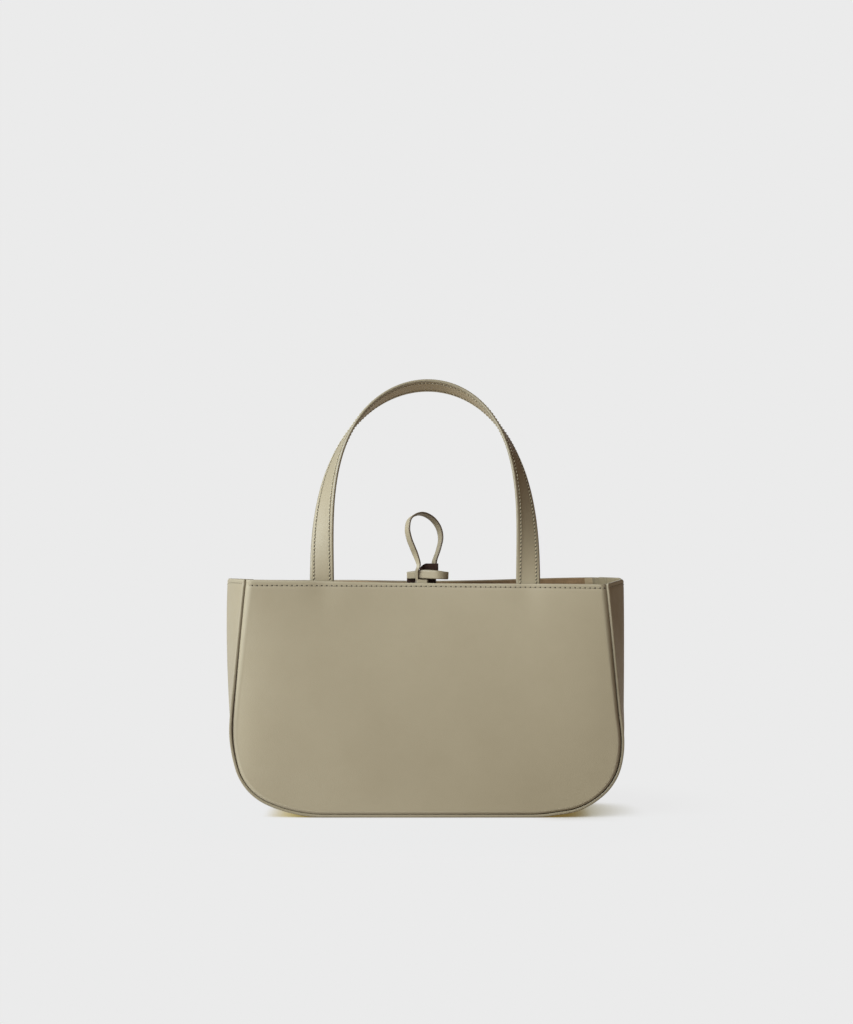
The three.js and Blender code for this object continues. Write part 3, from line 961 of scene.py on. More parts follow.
@dataclass(frozen=True)
class StudioPaper(Finish):
    """Matt white background paper under even light: pale, without shine, with a soft contact shadow."""

    colour: str
    glow: str
    glow_strength: float
    shadow_reach: tuple[float, float] = (150.0, 250.0)
    # The bag gets less light from the paper on its right and from a patch in front of it
    dim: str = "#A89A84"
    dim_from: tuple[float, float] = (60.0, 660.0)
    dull: str = "#A2937C"
    dull_at: tuple[float, float, float] = (95.0, -115.0, 0.0)
    dull_reach: float = 160.0
    # The contact shadow is paler under the left corner than along the base
    contact: tuple[str, str] = ("#B09C48", "#6E5614")
    contact_from: tuple[float, float] = (-100.0, -75.0)
    contact_mm: float = 12.0
    contact_free: float = 0.58
    # A wider shade lies beside the right corner
    shade: str = "#857B4A"
    shade_from: tuple[float, float] = (70.0, 105.0)
    shade_mm: float = 45.0
    shade_free: float = 0.72
    sky_samples: int = 8
    tooth_mm: float = 1.5
    relief_mm: float = 0.1
    relief_strength: float = 0.05
    roughness: float = 0.95

    def light(self, tree: Tree, place: Socket, right: Socket) -> Socket:
        """Mix the light of the open paper, even to the eye.

        Args:
            tree: Node tree of the material.
            place: Place on the paper.
            right: How far on the dimmer right it is.

        Returns:
            The colour that the paper gives.
        """
        given = add_node(tree, "ShaderNodeMix", {
            MIX_FACTOR: right, MIX_A: linear(self.glow), MIX_B: linear(self.dim)}, **COLOURS)
        away = add_node(tree, "ShaderNodeVectorMath", {0: place, 1: [v * MM for v in self.dull_at]}, "Value",
                        operation="DISTANCE")
        beyond = add_node(tree, "ShaderNodeMapRange",
                          {"Value": away, "From Min": 0.0, "From Max": self.dull_reach * MM}, **SOFTLY)
        given = add_node(tree, "ShaderNodeMix", {
            MIX_FACTOR: beyond, MIX_A: linear(self.dull), MIX_B: given}, **COLOURS)
        seen = add_node(tree, "ShaderNodeLightPath", output="Is Camera Ray")
        return add_node(tree, "ShaderNodeMix", {
            MIX_FACTOR: seen, MIX_A: given, MIX_B: linear(self.glow)}, **COLOURS)

    def shadow(self, tree: Tree, light: Socket, inward: Socket, beside: Socket) -> Socket:
        """Darken the paper close to the bag.

        Args:
            tree: Node tree of the material.
            light: Colour of the open paper.
            inward: How far inside the left corner it is.
            beside: How far beside the right corner it is.

        Returns:
            The colour with the contact shadow and the shade in it.
        """
        free = []
        for reach, full in ((self.contact_mm, self.contact_free), (self.shade_mm, self.shade_free)):
            sky = add_node(tree, "ShaderNodeAmbientOcclusion", {"Distance": reach * MM}, "AO",
                           samples=self.sky_samples)
            free.append(add_node(tree, "ShaderNodeMapRange", {
                "Value": sky, "From Min": 0.0, "From Max": full}))
        left, base = (linear(colour) for colour in self.contact)
        touch = add_node(tree, "ShaderNodeMix", {
            MIX_FACTOR: inward, MIX_A: left, MIX_B: base}, **COLOURS)
        shaded = add_node(tree, "ShaderNodeMix", {
            MIX_FACTOR: beside, MIX_A: light, MIX_B: linear(self.shade)}, **COLOURS)
        around = add_node(tree, "ShaderNodeMix", {
            MIX_FACTOR: free[1], MIX_A: shaded, MIX_B: light}, **COLOURS)
        return add_node(tree, "ShaderNodeMix", {
            MIX_FACTOR: free[0], MIX_A: touch, MIX_B: around}, **COLOURS)

    def shader(self, tree: Tree) -> Socket:
        """Add paper that takes shadows near the bag and glows evenly further out.

        Args:
            tree: Node tree of the material.

        Returns:
            The shader.
        """
        place = add_node(tree, "ShaderNodeTexCoord", output="Object")
        x = add_node(tree, "ShaderNodeSeparateXYZ", {0: place}, "X")
        reach = add_node(tree, "ShaderNodeVectorMath", {0: place}, "Value", operation="LENGTH")
        right, inward, beside, far = (
            add_node(tree, "ShaderNodeMapRange",
                     {"Value": value, "From Min": span[0] * MM, "From Max": span[1] * MM}, **SOFTLY)
            for value, span in ((x, self.dim_from), (x, self.contact_from), (x, self.shade_from),
                                (reach, self.shadow_reach)))
        light = self.light(tree, place, right)
        tooth = add_node(tree, "ShaderNodeTexNoise",
                         {"Vector": place, "Scale": 1 / (self.tooth_mm * MM), "Detail": 2.0})
        bump = add_node(tree, "ShaderNodeBump", {
            "Height": tooth, "Strength": self.relief_strength, "Distance": self.relief_mm * MM})
        near = add_node(tree, "ShaderNodeBsdfPrincipled", {
            "Base Color": linear(self.colour), "Roughness": self.roughness, "Normal": bump,
            "Specular IOR Level": 0.0, "Emission Color": self.shadow(tree, light, inward, beside),
            "Emission Strength": self.glow_strength})
        even = add_node(tree, "ShaderNodeEmission", {"Color": light, "Strength": 1.0})
        return add_node(tree, "ShaderNodeMixShader", {0: far, 1: near, 2: even})


class Finishes:
    """Every material of the bag, made once."""

    def __init__(self) -> None:
        """Make the materials."""
        dull = (0.6, 0.75)
        # The smooth outside of body and straps
        self.grain = CalfLeather("calf_leather_khaki", "#8A7E67", "#82755D", "#958A74").material()
        # Inside of a panel next to its sides: a paler copy of the khaki leather without shine; the paleness
        # is painted light where light falls into the mouth
        self.facing = CalfLeather("calf_leather_khaki_facing_painted_light", "#9E8A6B", "#917E61", "#A89677",
                                  dull).material()
        # Inside of the flanges and the gusset: a darker copy of the khaki leather without shine; the darkness
        # is painted shade
        self.lining_painted_shade = CalfLeather("calf_leather_khaki_reverse_painted_shade", "#71634A", "#675A43", "#796C53",
                                  dull).material()
        # Inside of the handle: a little paler and yellower than its outside, partly a guessed second layer of
        # leather and partly painted warm bounce light under the arch
        self.backing_painted_bounce = CalfLeather("calf_leather_strap_backing", "#94815B", "#8C7752", "#A08D66").material()
        # Inside of the panels, and the tab's nearly black copy of that brown flesh side, whose darkness is
        # painted deep shade
        self.flesh = FleshSide("brown_suede_split", "#70583F", "#8D7152").material()
        self.flesh_painted_deep_shade = FleshSide("brown_suede_split_painted_deep_shade", "#21120C", "#301D14").material()
        # Painted cut edges, and the duller one of the loop, which is only rubbed smooth
        self.edge = EdgePaint("edge_paint_khaki", "#7F745F", "#736751").material()
        self.raw_edge = EdgePaint("burnished_raw_edge", "#5E5140", "#4A3D2C", roughness=0.55).material()
        # Rows of the body; the paler rows of the handle, whose paleness is a painted highlight where the
        # raised stitches catch the light; and the dark pricks of the needle, which are painted shade in the
        # holes
        self.thread = WaxedThread("waxed_polyester_thread", "#968A70", "#776B50").material()
        self.strap_thread_painted_highlight = WaxedThread("waxed_polyester_strap_thread", "#B8AC90", "#94886C").material()
        # Dark needle holes: painted shade in the pricks
        self.hole = FleshSide("pierced_leather_painted_shade", "#2E2417", "#3B3020").material()


@dataclass(frozen=True)
class StitchRow:
    """One sewn row: spacing, thread, how each stitch lies, and the needle holes, in millimetres."""

    pitch: float
    thread: float = 0.62
    cover: float = 0.62
    lift: float = 0.16
    sink: float = 0.45
    slant: float = 0.3
    arch_power: float = 0.7
    end_share: float = 0.6
    rings: int = 7
    sides: int = 6
    hole: float = 0.6
    hole_stretch: float = 1.1
    hole_rim: float = 0.06
    hole_top: float = 0.1
    hole_bottom: float = 0.2
    hole_sides: int = 10

    def sew(self, line: Array, normals: Array) -> Shape:
        """Lay stitches along a line on a surface.

        Args:
            line: Points along the row.
            normals: Which way the surface looks at each point.

        Returns:
            The stitches and their needle holes.
        """
        at = arc_lengths(line)
        count = max(int(round(at[-1] / self.pitch)), 1)
        step = at[-1] / count
        tangents = unit(np.gradient(line, axis=0))
        share = np.linspace(0, 1, self.rings)
        place = (np.arange(count)[:, None] + 0.5 + (share - 0.5) * self.cover) * step
        centre, up, along = (sample(v, at, place) for v in (line, normals, tangents))
        up = unit(up)
        aside = unit(np.cross(along, up))
        arch = np.sin(math.pi * share) ** self.arch_power
        height = (self.lift + self.sink) * arch - self.sink
        centre = centre + up * height[:, None] + aside * (self.slant * (share - 0.5))[:, None]
        radius = self.thread / 2 * (self.end_share + (1 - self.end_share) * arch)
        angle = np.linspace(0, 2 * math.pi, self.sides, endpoint=False)
        ring = np.cos(angle)[:, None] * aside[..., None, :] + np.sin(angle)[:, None] * up[..., None, :]
        flat = (centre[..., None, :] + ring * radius[:, None, None]).reshape(-1, 3)
        pattern = np.empty((count, self.rings, self.sides, 2))
        pattern[..., 0] = share[:, None] * 2 * math.pi
        pattern[..., 1] = angle
        number = np.arange(len(flat)).reshape(count, self.rings, self.sides)
        nearer, further = number[:, :-1], number[:, 1:]
        quads = np.stack([nearer, np.roll(nearer, -1, 2), np.roll(further, -1, 2), further], axis=-1)
        caps = np.concatenate([number[:, 0, ::-1], number[:, -1]])
        faces = quads.reshape(-1, 4).tolist() + caps.tolist()
        finish = [int(Sewn.THREAD)] * len(faces)
        stitches = Shape(flat, faces, finish, np.zeros(len(flat)), pattern.reshape(-1, 2))
        return Shape.joined([stitches, self.holes(line, normals, tangents, at, step)])

    def holes(self, line: Array, normals: Array, tangents: Array, at: Array, step: float) -> Shape:
        """Make the needle holes between the stitches, their dark colour painted shade.

        Args:
            line: Points along the row.
            normals: Which way the surface looks at each point.
            tangents: Which way the row runs at each point.
            at: Length along the row at each point.
            step: Distance between holes.

        Returns:
            One low lens for each hole.
        """
        place = np.arange(0, at[-1] + step / 2, step)
        centre, up, along = (sample(v, at, place)[:, None] for v in (line, normals, tangents))
        up = unit(up)
        aside = unit(np.cross(along, up))
        sides = self.hole_sides
        angle = np.linspace(0, 2 * math.pi, sides, endpoint=False)
        rim = np.cos(angle)[:, None] * along * self.hole_stretch + np.sin(angle)[:, None] * aside
        rim = centre + rim * self.hole + up * self.hole_rim
        points = np.concatenate([rim, centre + up * self.hole_top, centre - up * self.hole_bottom], axis=1)
        number = np.arange(points.shape[0] * (sides + 2)).reshape(-1, sides + 2)
        ring, after = number[:, :sides], np.roll(number[:, :sides], -1, 1)
        upper = np.stack([after, ring, np.broadcast_to(number[:, sides:sides + 1], ring.shape)], axis=-1)
        lower = np.stack([ring, after, np.broadcast_to(number[:, sides + 1:], ring.shape)], axis=-1)
        faces = upper.reshape(-1, 3).tolist() + lower.reshape(-1, 3).tolist()
        flat = points.reshape(-1, 3)
        return Shape(flat, faces, [int(Sewn.HOLE_PAINTED_SHADE)] * len(faces), np.zeros(len(flat)), flat[:, :2])


@dataclass
class Panel:
    """One panel of the body: face, bent edge and flange, sewn along its top."""

    body: BodyForm
    form: PanelForm
    bend_steps: int = 12
    flange_steps: int = 3
    skived_edge: float = 0.3
    crown: float = 0.35
    rim_wear: float = 2.0
    bend_wear: float = 0.6
    row: StitchRow = StitchRow(3.5)
    row_inset: float = 0.6
    row_points: int = 400
    bend_widening: float = 1.6
    # Where the inside turns from brown flesh to the paler copy with painted light, and then to the darker
    # copy with painted shade
    painted_light_from: float = 117.0
    painted_shade_from: float = 122.5

    def face_grid(self, ring_x: Array, ring_z: Array, seam: Seam) -> Array:
        """Blend the face from its bent edge at the sides and base up to the rim.

        Args:
            ring_x: X of the bent edge at each station.
            ring_z: Z of the bent edge at each station.
            seam: Seam stations.

        Returns:
            Face points in rows from base to rim.
        """
        flank, wide = seam.flank_steps, seam.base_steps
        u = np.linspace(0, 1, wide + 1)[None, :]
        v = np.linspace(0, 1, flank + 1)[:, None]
        blended = []
        rim_x = ring_x[flank:flank + wide + 1] / ring_x[flank + wide] * ring_x[-1]
        for ring, rim in ((ring_x, rim_x), (ring_z, np.full(wide + 1, self.body.top_height))):
            left = ring[:flank + 1][::-1][:, None]
            right = ring[flank + wide:][:, None]
            base = ring[flank:flank + wide + 1][None, :]
            level = left * (1 - u) + right * u
            upright = base * (1 - v) + rim[None, :] * v
            corners = (base[:, :1] * (1 - u) + base[:, -1:] * u) * (1 - v)
            corners = corners + (rim[0] * (1 - u) + rim[-1] * u) * v
            blended.append(level + upright - corners)
        x, z = (part.ravel() for part in blended)
        return np.stack([x, self.body.face_y(self.form, x, z), z], axis=1)

    def edge_rings(self, edge: Array, seam: Seam, bend: Array) -> tuple[list[Array], list[float]]:
        """Carry the face round its bend and back along the flange.

        Args:
            edge: Edge of the face at each station.
            seam: Seam stations.
            bend: Radius of the bend at each station.

        Returns:
            Rings of points from the face on, and the thickness of the leather at each ring.
        """
        body = self.body
        start = body.flange_points(self.form, seam, bend)
        rings, thickness = [], []
        for step in range(1, self.bend_steps + 1):
            angle = math.pi / 2 * step / self.bend_steps
            out, back = math.sin(angle), 1 - math.cos(angle)
            rings.append(edge + (start - edge) * np.array([out, back, out]))
            thickness.append(body.leather)
        for step in range(1, self.flange_steps + 1):
            share = step / self.flange_steps
            rings.append(body.flange_points(self.form, seam, bend + body.flange * share))
            thickness.append(body.leather + (self.skived_edge - body.leather) * share)
        return rings, thickness

    def sheet(self) -> Sheet:
        """Build the outer surface.

        Returns:
            Face, bend and flange in one sheet.
        """
        body, form = self.body, self.form
        seam = body.seam()
        bend = body.bend(seam.z)
        edge_x = seam.x - seam.nx * bend
        edge_z = seam.z - seam.nz * bend
        edge_z[[0, -1]] = body.top_height
        grid = self.face_grid(edge_x, edge_z, seam)
        number = np.arange(len(grid)).reshape(seam.flank_steps + 1, seam.base_steps + 1)
        quads, points = [grid_quads(number)], [grid]
        wear = [np.exp(-(body.top_height - grid[:, 2]) / self.rim_wear)]
        wall = [np.full(len(grid), body.leather)]
        edge = np.stack([edge_x, body.face_y(form, edge_x, edge_z), edge_z], axis=1)
        before = np.concatenate([number[::-1, 0], number[0, 1:], number[1:, -1]])
        count = len(grid)
        for ring, thickness in zip(*self.edge_rings(edge, seam, bend)):
            after = count + np.arange(len(ring))
            quads.append(np.stack([after[:-1], after[1:], before[1:], before[:-1]], axis=1))
            points.append(ring)
            wear.append(np.full(len(ring), self.bend_wear))
            wall.append(np.full(len(ring), thickness))
            count += len(ring)
            before = after
        standing = body.settled(np.concatenate(points), form)
        # The faces are listed as seen from the front, so the back panel's are turned over
        facing = np.concatenate(quads)[:, ::-form.side]
        return Sheet(standing, facing, np.concatenate(wear), np.concatenate(wall))

    def wall(self) -> Shape:
        """Close the sheet, and mark the side strips of its inside, which take a paler copy of the leather as
        painted light and, on the flanges, a darker copy as painted shade.

        Returns:
            The panel's wall.
        """
        wall = self.sheet().thicken(self.crown)
        for number, face in enumerate(wall.faces):
            aside = abs(wall.points[face, 0].mean())
            if wall.finish[number] == Face.INSIDE and aside > self.painted_light_from:
                wall.finish[number] = int(Face.FACING_PAINTED_LIGHT if aside < self.painted_shade_from else Face.FLANGE_PAINTED_SHADE)
        return wall

    def rim_row(self) -> Shape:
        """Sew the row along the top edge.

        Returns:
            The stitches and their holes.
        """
        body, form = self.body, self.form
        half = body.seam().x[-1] - self.row_inset
        x = np.linspace(-half, half, self.row_points)
        z = body.row_z(form, x)
        bend = body.bend(z)
        past = np.clip(np.abs(x) - half - self.row_inset + bend, 0, bend)
        over = past * bend / (bend + self.bend_widening)
        drop = bend - np.sqrt(bend ** 2 - over ** 2)
        y = body.face_y(form, x, z) - form.side * drop
        line = body.settled(np.stack([x, y, z], axis=1), form)
        slope = np.gradient(line[:, 1], line[:, 0])
        normals = unit(np.stack([slope, -np.ones_like(x), np.zeros_like(x)], axis=1)) * -form.side
        return self.row.sew(line, normals)

    def build(self, finishes: Finishes) -> None:
        """Make the panel and its sewn row.

        Args:
            finishes: Materials of the bag.
        """
        name = self.form.name
        # The inside's side strips take a paler copy of the khaki leather as painted light and, on the
        # flanges, a darker copy as painted shade; the dark needle holes of the row are painted shade
        inner = (finishes.flesh, finishes.edge, finishes.facing, finishes.lining_painted_shade)
        self.wall().piece(name + "_leather", (finishes.grain, *inner), Slot.BODY, (name,))
        self.rim_row().piece(name + "_stitches", (finishes.thread, finishes.hole), Slot.BODY)


@dataclass
class Gusset:
    """Base and sides in one strip, its cut edges painted and fixed to the panels' flanges, its rims sewn."""

    body: BodyForm
    crown: float = 0.5
    rim_row: StitchRow = StitchRow(3.5, hole=0.42)
    rim_inset: float = 4.2
    rim_drop: float = 2.6
    row_points: int = 60
    edge_wear: float = 1.5
    edge_band: float = 12.0
    edge_steps: int = 24
    middle_steps: int = 22

    def columns(self) -> Array:
        """Place the columns across the strip, close together near its rounded edges.

        Returns:
            Places from the front edge at -1 to the back edge at 1.
        """
        share = self.edge_band / self.body.gusset_half_width
        front = np.linspace(-1, -1 + share, self.edge_steps + 1)
        middle = np.linspace(-1 + share, 1 - share, self.middle_steps + 1)
        return np.concatenate([front[:-1], middle, -front[::-1][1:]])

    def column(self, seam: Seam, across: float) -> Array:
        """Find a line along the strip with the sewn rims pressed in.

        Args:
            seam: Seam stations.
            across: From the front edge at -1 to the back edge at 1.

        Returns:
            One point for each station.
        """
        body = self.body
        spread = np.full_like(seam.x, across)
        press = body.groove(body.top_height - self.rim_drop - seam.z)
        return body.gusset_points(seam, spread) - body.gusset_normals(seam, spread) * press[:, None]

    def sheet(self) -> Sheet:
        """Build the outer surface.

        Returns:
            The whole strip in one sheet.
        """
        body = self.body
        seam = body.seam()
        columns = self.columns()
        points = np.stack([self.column(seam, across) for across in columns], axis=1)
        number = np.arange(points.shape[0] * points.shape[1]).reshape(points.shape[:2])
        from_edge = (1 - np.abs(columns)) * body.gusset_half_width
        from_rim = body.top_height - seam.z
        wear = np.exp(-np.minimum(from_edge[None, :], from_rim[:, None]) / self.edge_wear)
        wall = np.full(number.size, body.leather)
        return Sheet(body.settled(points.reshape(-1, 3)), grid_quads(number), wear.ravel(), wall)

    def rim_rows(self) -> Shape:
        """Sew the short rows along the top edge of each side.

        Returns:
            The stitches and their holes.
        """
        body = self.body
        seam = body.seam()
        last = len(seam.z) - 1
        station = int(np.argmin(np.abs(seam.z[:len(seam.z) // 2] - body.top_height + self.rim_drop)))
        share = 1 - self.rim_inset / body.gusset_half_width
        across = np.linspace(-share, share, self.row_points)
        rows = []
        for place in (station, last - station):
            here = Seam(*(np.full_like(across, v[place]) for v in (seam.x, seam.z, seam.nx, seam.nz)))
            normals = body.gusset_normals(here, across)
            line = body.gusset_points(here, across) - normals * body.groove_depth
            rows.append(self.rim_row.sew(body.settled(line), normals))
        return Shape.joined(rows)

    def build(self, finishes: Finishes) -> None:
        """Make the strip and its rows.

        Args:
            finishes: Materials of the bag.
        """
        wall = self.sheet().thicken(self.crown)
        # The inside takes the darker copy of the khaki leather as painted shade, and the row's dark needle
        # holes are painted shade
        leather = (finishes.grain, finishes.lining_painted_shade, finishes.edge)
        wall.piece("gusset_leather", leather, Slot.BODY, ("gusset",))
        self.rim_rows().piece("gusset_stitches", (finishes.thread, finishes.hole), Slot.BODY)


@dataclass
class Strap:
    """A flat strap along a path, with rounded painted edges and, where it is sewn, pressed rows.

    Where left and right are given, they are its reach to both sides of the path.
    """

    centres: Array
    across: Array
    normals: Array
    width: float
    thick: float
    row_inset: float = 0.0
    groove: float = 0.16
    groove_width: float = 0.7
    face_steps: int = 8
    edge_steps: int = 6
    left: Array | None = None
    right: Array | None = None

    def section(self) -> tuple[Array, list[Face]]:
        """Draw the cross-section.

        Returns:
            Places across and through the strap, and the finish of the face after each.
        """
        half, lift = self.width / 2, self.thick / 2
        flat = np.linspace(lift - half, half - lift, self.face_steps + 1)
        press = np.zeros_like(flat)
        if self.row_inset:
            press = self.groove * np.exp(-((half - np.abs(flat) - self.row_inset) / self.groove_width) ** 2)
        turn = np.linspace(math.pi / 2, -math.pi / 2, self.edge_steps + 1)[1:-1]
        edge = np.stack([half - lift + lift * np.cos(turn), lift * np.sin(turn)], axis=1)
        top = np.stack([flat, lift - press], axis=1)
        kinds = []
        for face in (Face.OUTSIDE, Face.INSIDE):
            kinds += [face] * self.face_steps + [Face.EDGE] * self.edge_steps
        return np.concatenate([top, edge, -top, -edge]), kinds

    def shape(self) -> Shape:
        """Sweep the section along the path and close both ends.

        Returns:
            The strap.
        """
        outline, kinds = self.section()
        half = np.full(len(self.centres), self.width / 2)
        left = half if self.left is None else self.left
        right = half if self.right is None else self.right
        reach = (right - left)[:, None] / 2 + outline[None, :, 0] * ((left + right) / self.width)[:, None]
        points = self.centres[:, None] + self.across[:, None] * reach[..., None]
        points = points + self.normals[:, None] * outline[None, :, 1:]
        stations, around = reach.shape
        number = np.arange(stations * around).reshape(stations, around)
        after = np.roll(number, -1, 1)
        quads = np.stack([number[:-1], number[1:], after[1:], after[:-1]], axis=-1)
        faces = quads.reshape(-1, 4).tolist() + [number[0].tolist(), number[-1, ::-1].tolist()]
        finish = [int(kind) for kind in kinds] * (stations - 1) + [int(Face.EDGE)] * 2
        on_edge = np.array([kind == Face.EDGE for kind in kinds], float)
        wear = np.tile(np.maximum(on_edge, np.roll(on_edge, 1)), stations)
        flat = points.reshape(-1, 3)
        return Shape(flat, faces, finish, wear, flat[:, [0, 2]])

    def rows(self, row: StitchRow) -> Shape:
        """Sew the pressed rows near both edges, as both faces show them.

        Args:
            row: Spacing and thread.

        Returns:
            The stitches and their holes.
        """
        place = self.width / 2 - self.row_inset
        sewn = []
        for side in (-1, 1):
            for face in (1, -1):
                lift = face * (self.thick / 2 - self.groove)
                line = self.centres + self.across * (side * place) + self.normals * lift
                sewn.append(row.sew(line, self.normals * face))
        return Shape.joined(sewn)


@dataclass
class Handle:
    """The carrying strap: legs that face forward and turn outwards up a leaning arch."""

    body: BodyForm
    width: float = 17.0
    thick: float = 2.2
    half_span: float = 72.5
    centre_x: float = -0.4
    rise: float = 139.6
    foot: float = 22.0
    foot_end: float = 0.5
    lean: float = 31.0
    sway: float = 1.8
    sway_power: float = 3.0
    arch_power: float = 2 / 3
    turn_power: float = 1.22
    step: float = 1.6
    arch_points: int = 600
    foot_points: int = 24
    face_steps: int = 28
    row_inset: float = 2.9
    row: StitchRow = StitchRow(2.6, thread=0.85, cover=0.76, lift=0.4, slant=1.2, hole=0.5)

    def middle_line(self) -> Array:
        """Trace the middle of the strap from foot to foot.

        Returns:
            Points at even steps.
        """
        body = self.body
        angle = np.linspace(0, math.pi, self.arch_points)
        up = self.rise * np.clip(np.sin(angle), 0, 1) ** self.arch_power
        x = self.centre_x + self.sway * (up / self.rise) ** self.sway_power - self.half_span * np.cos(angle)
        rim_y = body.inside_y(FRONT, self.half_span, np.array([body.top_height]), self.thick)
        y = rim_y + self.lean * (up / self.rise) ** 2
        arch = np.stack([x, y, body.top_height + up], axis=1)
        z = body.top_height + np.linspace(-self.foot, -self.foot_end, self.foot_points)
        feet = []
        for side in (-1, 1):
            foot_x = self.centre_x + side * self.half_span
            foot_y = body.inside_y(FRONT, foot_x, z, self.thick)
            feet.append(np.stack([np.full_like(z, foot_x), foot_y, z], axis=1))
        line = np.concatenate([feet[0], arch, feet[1][::-1]])
        at = arc_lengths(line)
        return sample(line, at, np.linspace(0, at[-1], int(at[-1] / self.step)))

    def strap(self) -> Strap:
        """Turn the strap along its middle line.

        Returns:
            The strap from its left foot to its right foot.
        """
        centres = self.middle_line()
        along = unit(np.gradient(centres, axis=0))
        share = np.clip((centres[:, 2] - self.body.top_height) / self.rise, 0, 1)
        turn = math.pi / 2 * (1 - (1 - share) ** self.turn_power)
        lean = 2 * self.lean * share / self.rise
        forward = unit(np.stack([np.zeros_like(share), -np.ones_like(share), lean], axis=1))
        outward = unit(np.cross(forward, along))
        normals = squared_to(forward * np.cos(turn)[:, None] + outward * np.sin(turn)[:, None], along)
        return Strap(centres, np.cross(normals, along), normals, self.width, self.thick, self.row_inset,
                     face_steps=self.face_steps)

    def build(self, finishes: Finishes) -> None:
        """Make the strap and its rows.

        Args:
            finishes: Materials of the bag.
        """
        strap = self.strap()
        # The inside takes a paler, yellower leather: partly a guessed second layer, partly painted warm
        # bounce light under the arch
        leather = (finishes.grain, finishes.backing_painted_bounce, finishes.edge)
        strap.shape().piece("handle_leather", leather, Slot.STRAP, ("handle",))
        # The handle's paler thread is a painted highlight where its raised stitches catch the light, and its
        # dark holes are painted shade
        strap.rows(self.row).piece("handle_stitches", (finishes.strap_thread_painted_highlight, finishes.hole), Slot.STRAP)


@dataclass
class ClosureLoop:
    """Narrow strap from the front panel, up past the bar, round a standing teardrop and down behind it."""

    body: BodyForm
    half_width: float = 2.85
    thick: float = 1.3
    yaw: float = 36.0
    lean: float = 20.0
    middle_y: float = -25.6
    steps: int = 12
    # Left leg: place across, height over the rim, distance behind the panel, turn, reach to both sides
    left_leg: tuple[tuple[float, ...], ...] = (
        (-6.2, -15.0, 0.0, 90.0, 1.1, 8.1), (-6.2, -7.5, 0.0, 90.0, 1.1, 8.1),
        (-6.2, 0.6, 0.0, 90.0, 1.1, 8.1), (-6.2, 1.2, 0.0, 90.0, 1.1, 8.1),
        (-6.2, 1.5, 0.0, 90.0, 1.1, 1.1), (-6.2, 7.4, -0.2, 90.0, 1.1, 1.1),
        (-5.2, 9.9, 0.0, 70.0, 1.3, 1.3), (-4.9, 12.2, 0.6, 50.0, 1.7, 1.7),
    )
    # Standing rows: place across, height over the rim, distance behind the loop's own plane
    teardrop: tuple[tuple[float, ...], ...] = (
        (-7.0, 18.7, 0.0), (-9.2, 24.2, 0.0), (-11.4, 30.0, 0.0), (-12.7, 37.2, 0.0), (-11.0, 44.1, 0.0),
        (-3.9, 47.7, 0.0), (4.0, 44.6, 0.0), (9.2, 37.7, 0.0), (10.7, 30.2, 0.0), (9.2, 22.5, 0.0),
        (6.4, 14.0, 1.2), (5.6, 6.0, 2.4),
    )
    # Right leg: place across, height over the rim, distance behind the panel, turn
    right_leg: tuple[tuple[float, ...], ...] = (
        (5.5, 0.0, 11.6, 36.0), (5.5, -6.0, 10.4, 50.0), (5.5, -13.0, 1.6, 90.0), (5.5, -16.0, 0.2, 90.0),
        (5.5, -20.0, 0.0, 90.0),
    )

    def leg_row(self, x: float, rise: float, behind: float, turn: float, left: float,
                right: float) -> list[float]:
        """Place a row of a leg beside the front panel.

        Args:
            x: Place across.
            rise: Height over the rim.
            behind: Distance behind the panel.
            turn: Turn of the strap in degrees.
            left: Reach to its left.
            right: Reach to its right.

        Returns:
            Place, turn, reach to both sides and lean.
        """
        top = self.body.top_height
        against = self.body.inside_y(FRONT, x, np.array([top + min(rise, 0.0)]), self.thick)[0]
        return [x, against + behind, top + rise, turn, left, right, 0.0]

    def standing_row(self, x: float, rise: float, behind: float) -> list[float]:
        """Place a row of the teardrop.

        Args:
            x: Place across.
            rise: Height over the rim.
            behind: Distance behind the loop's own plane.

        Returns:
            Place, turn, reach to both sides and lean.
        """
        y = self.middle_y + x * math.tan(math.radians(self.yaw)) + behind
        return [x, y, self.body.top_height + rise, self.yaw, self.half_width, self.half_width, self.lean]

    def strap(self) -> Strap:
        """Lay the strap through its rows.

        Returns:
            The strap from its left foot to its right foot.
        """
        half = self.half_width
        rows = [self.leg_row(*row) for row in self.left_leg]
        rows += [self.standing_row(*row) for row in self.teardrop]
        rows += [self.leg_row(*row, half, half) for row in self.right_leg]
        table = np.array(rows)
        centres = smooth_path(table[:, :3], self.steps)
        along = unit(np.gradient(centres, axis=0))
        place = np.arange(len(centres)) / self.steps
        turn, left, right, lean = sample(table[:, 3:], np.arange(len(rows)), place).T
        turn, lean = np.radians(turn), np.radians(lean)
        across = squared_to(np.stack([np.sin(turn), -np.cos(turn), np.tan(lean)], axis=1), along)
        return Strap(centres, across, np.cross(along, across), 2 * half, self.thick, left=left, right=right)

    def build(self, finishes: Finishes) -> None:
        """Make the loop.

        Args:
            finishes: Materials of the bag.
        """
        leather = (finishes.grain, finishes.grain, finishes.raw_edge)
        self.strap().shape().piece("closure_loop_leather", leather, Slot.STRAP, ("closure_loop",))


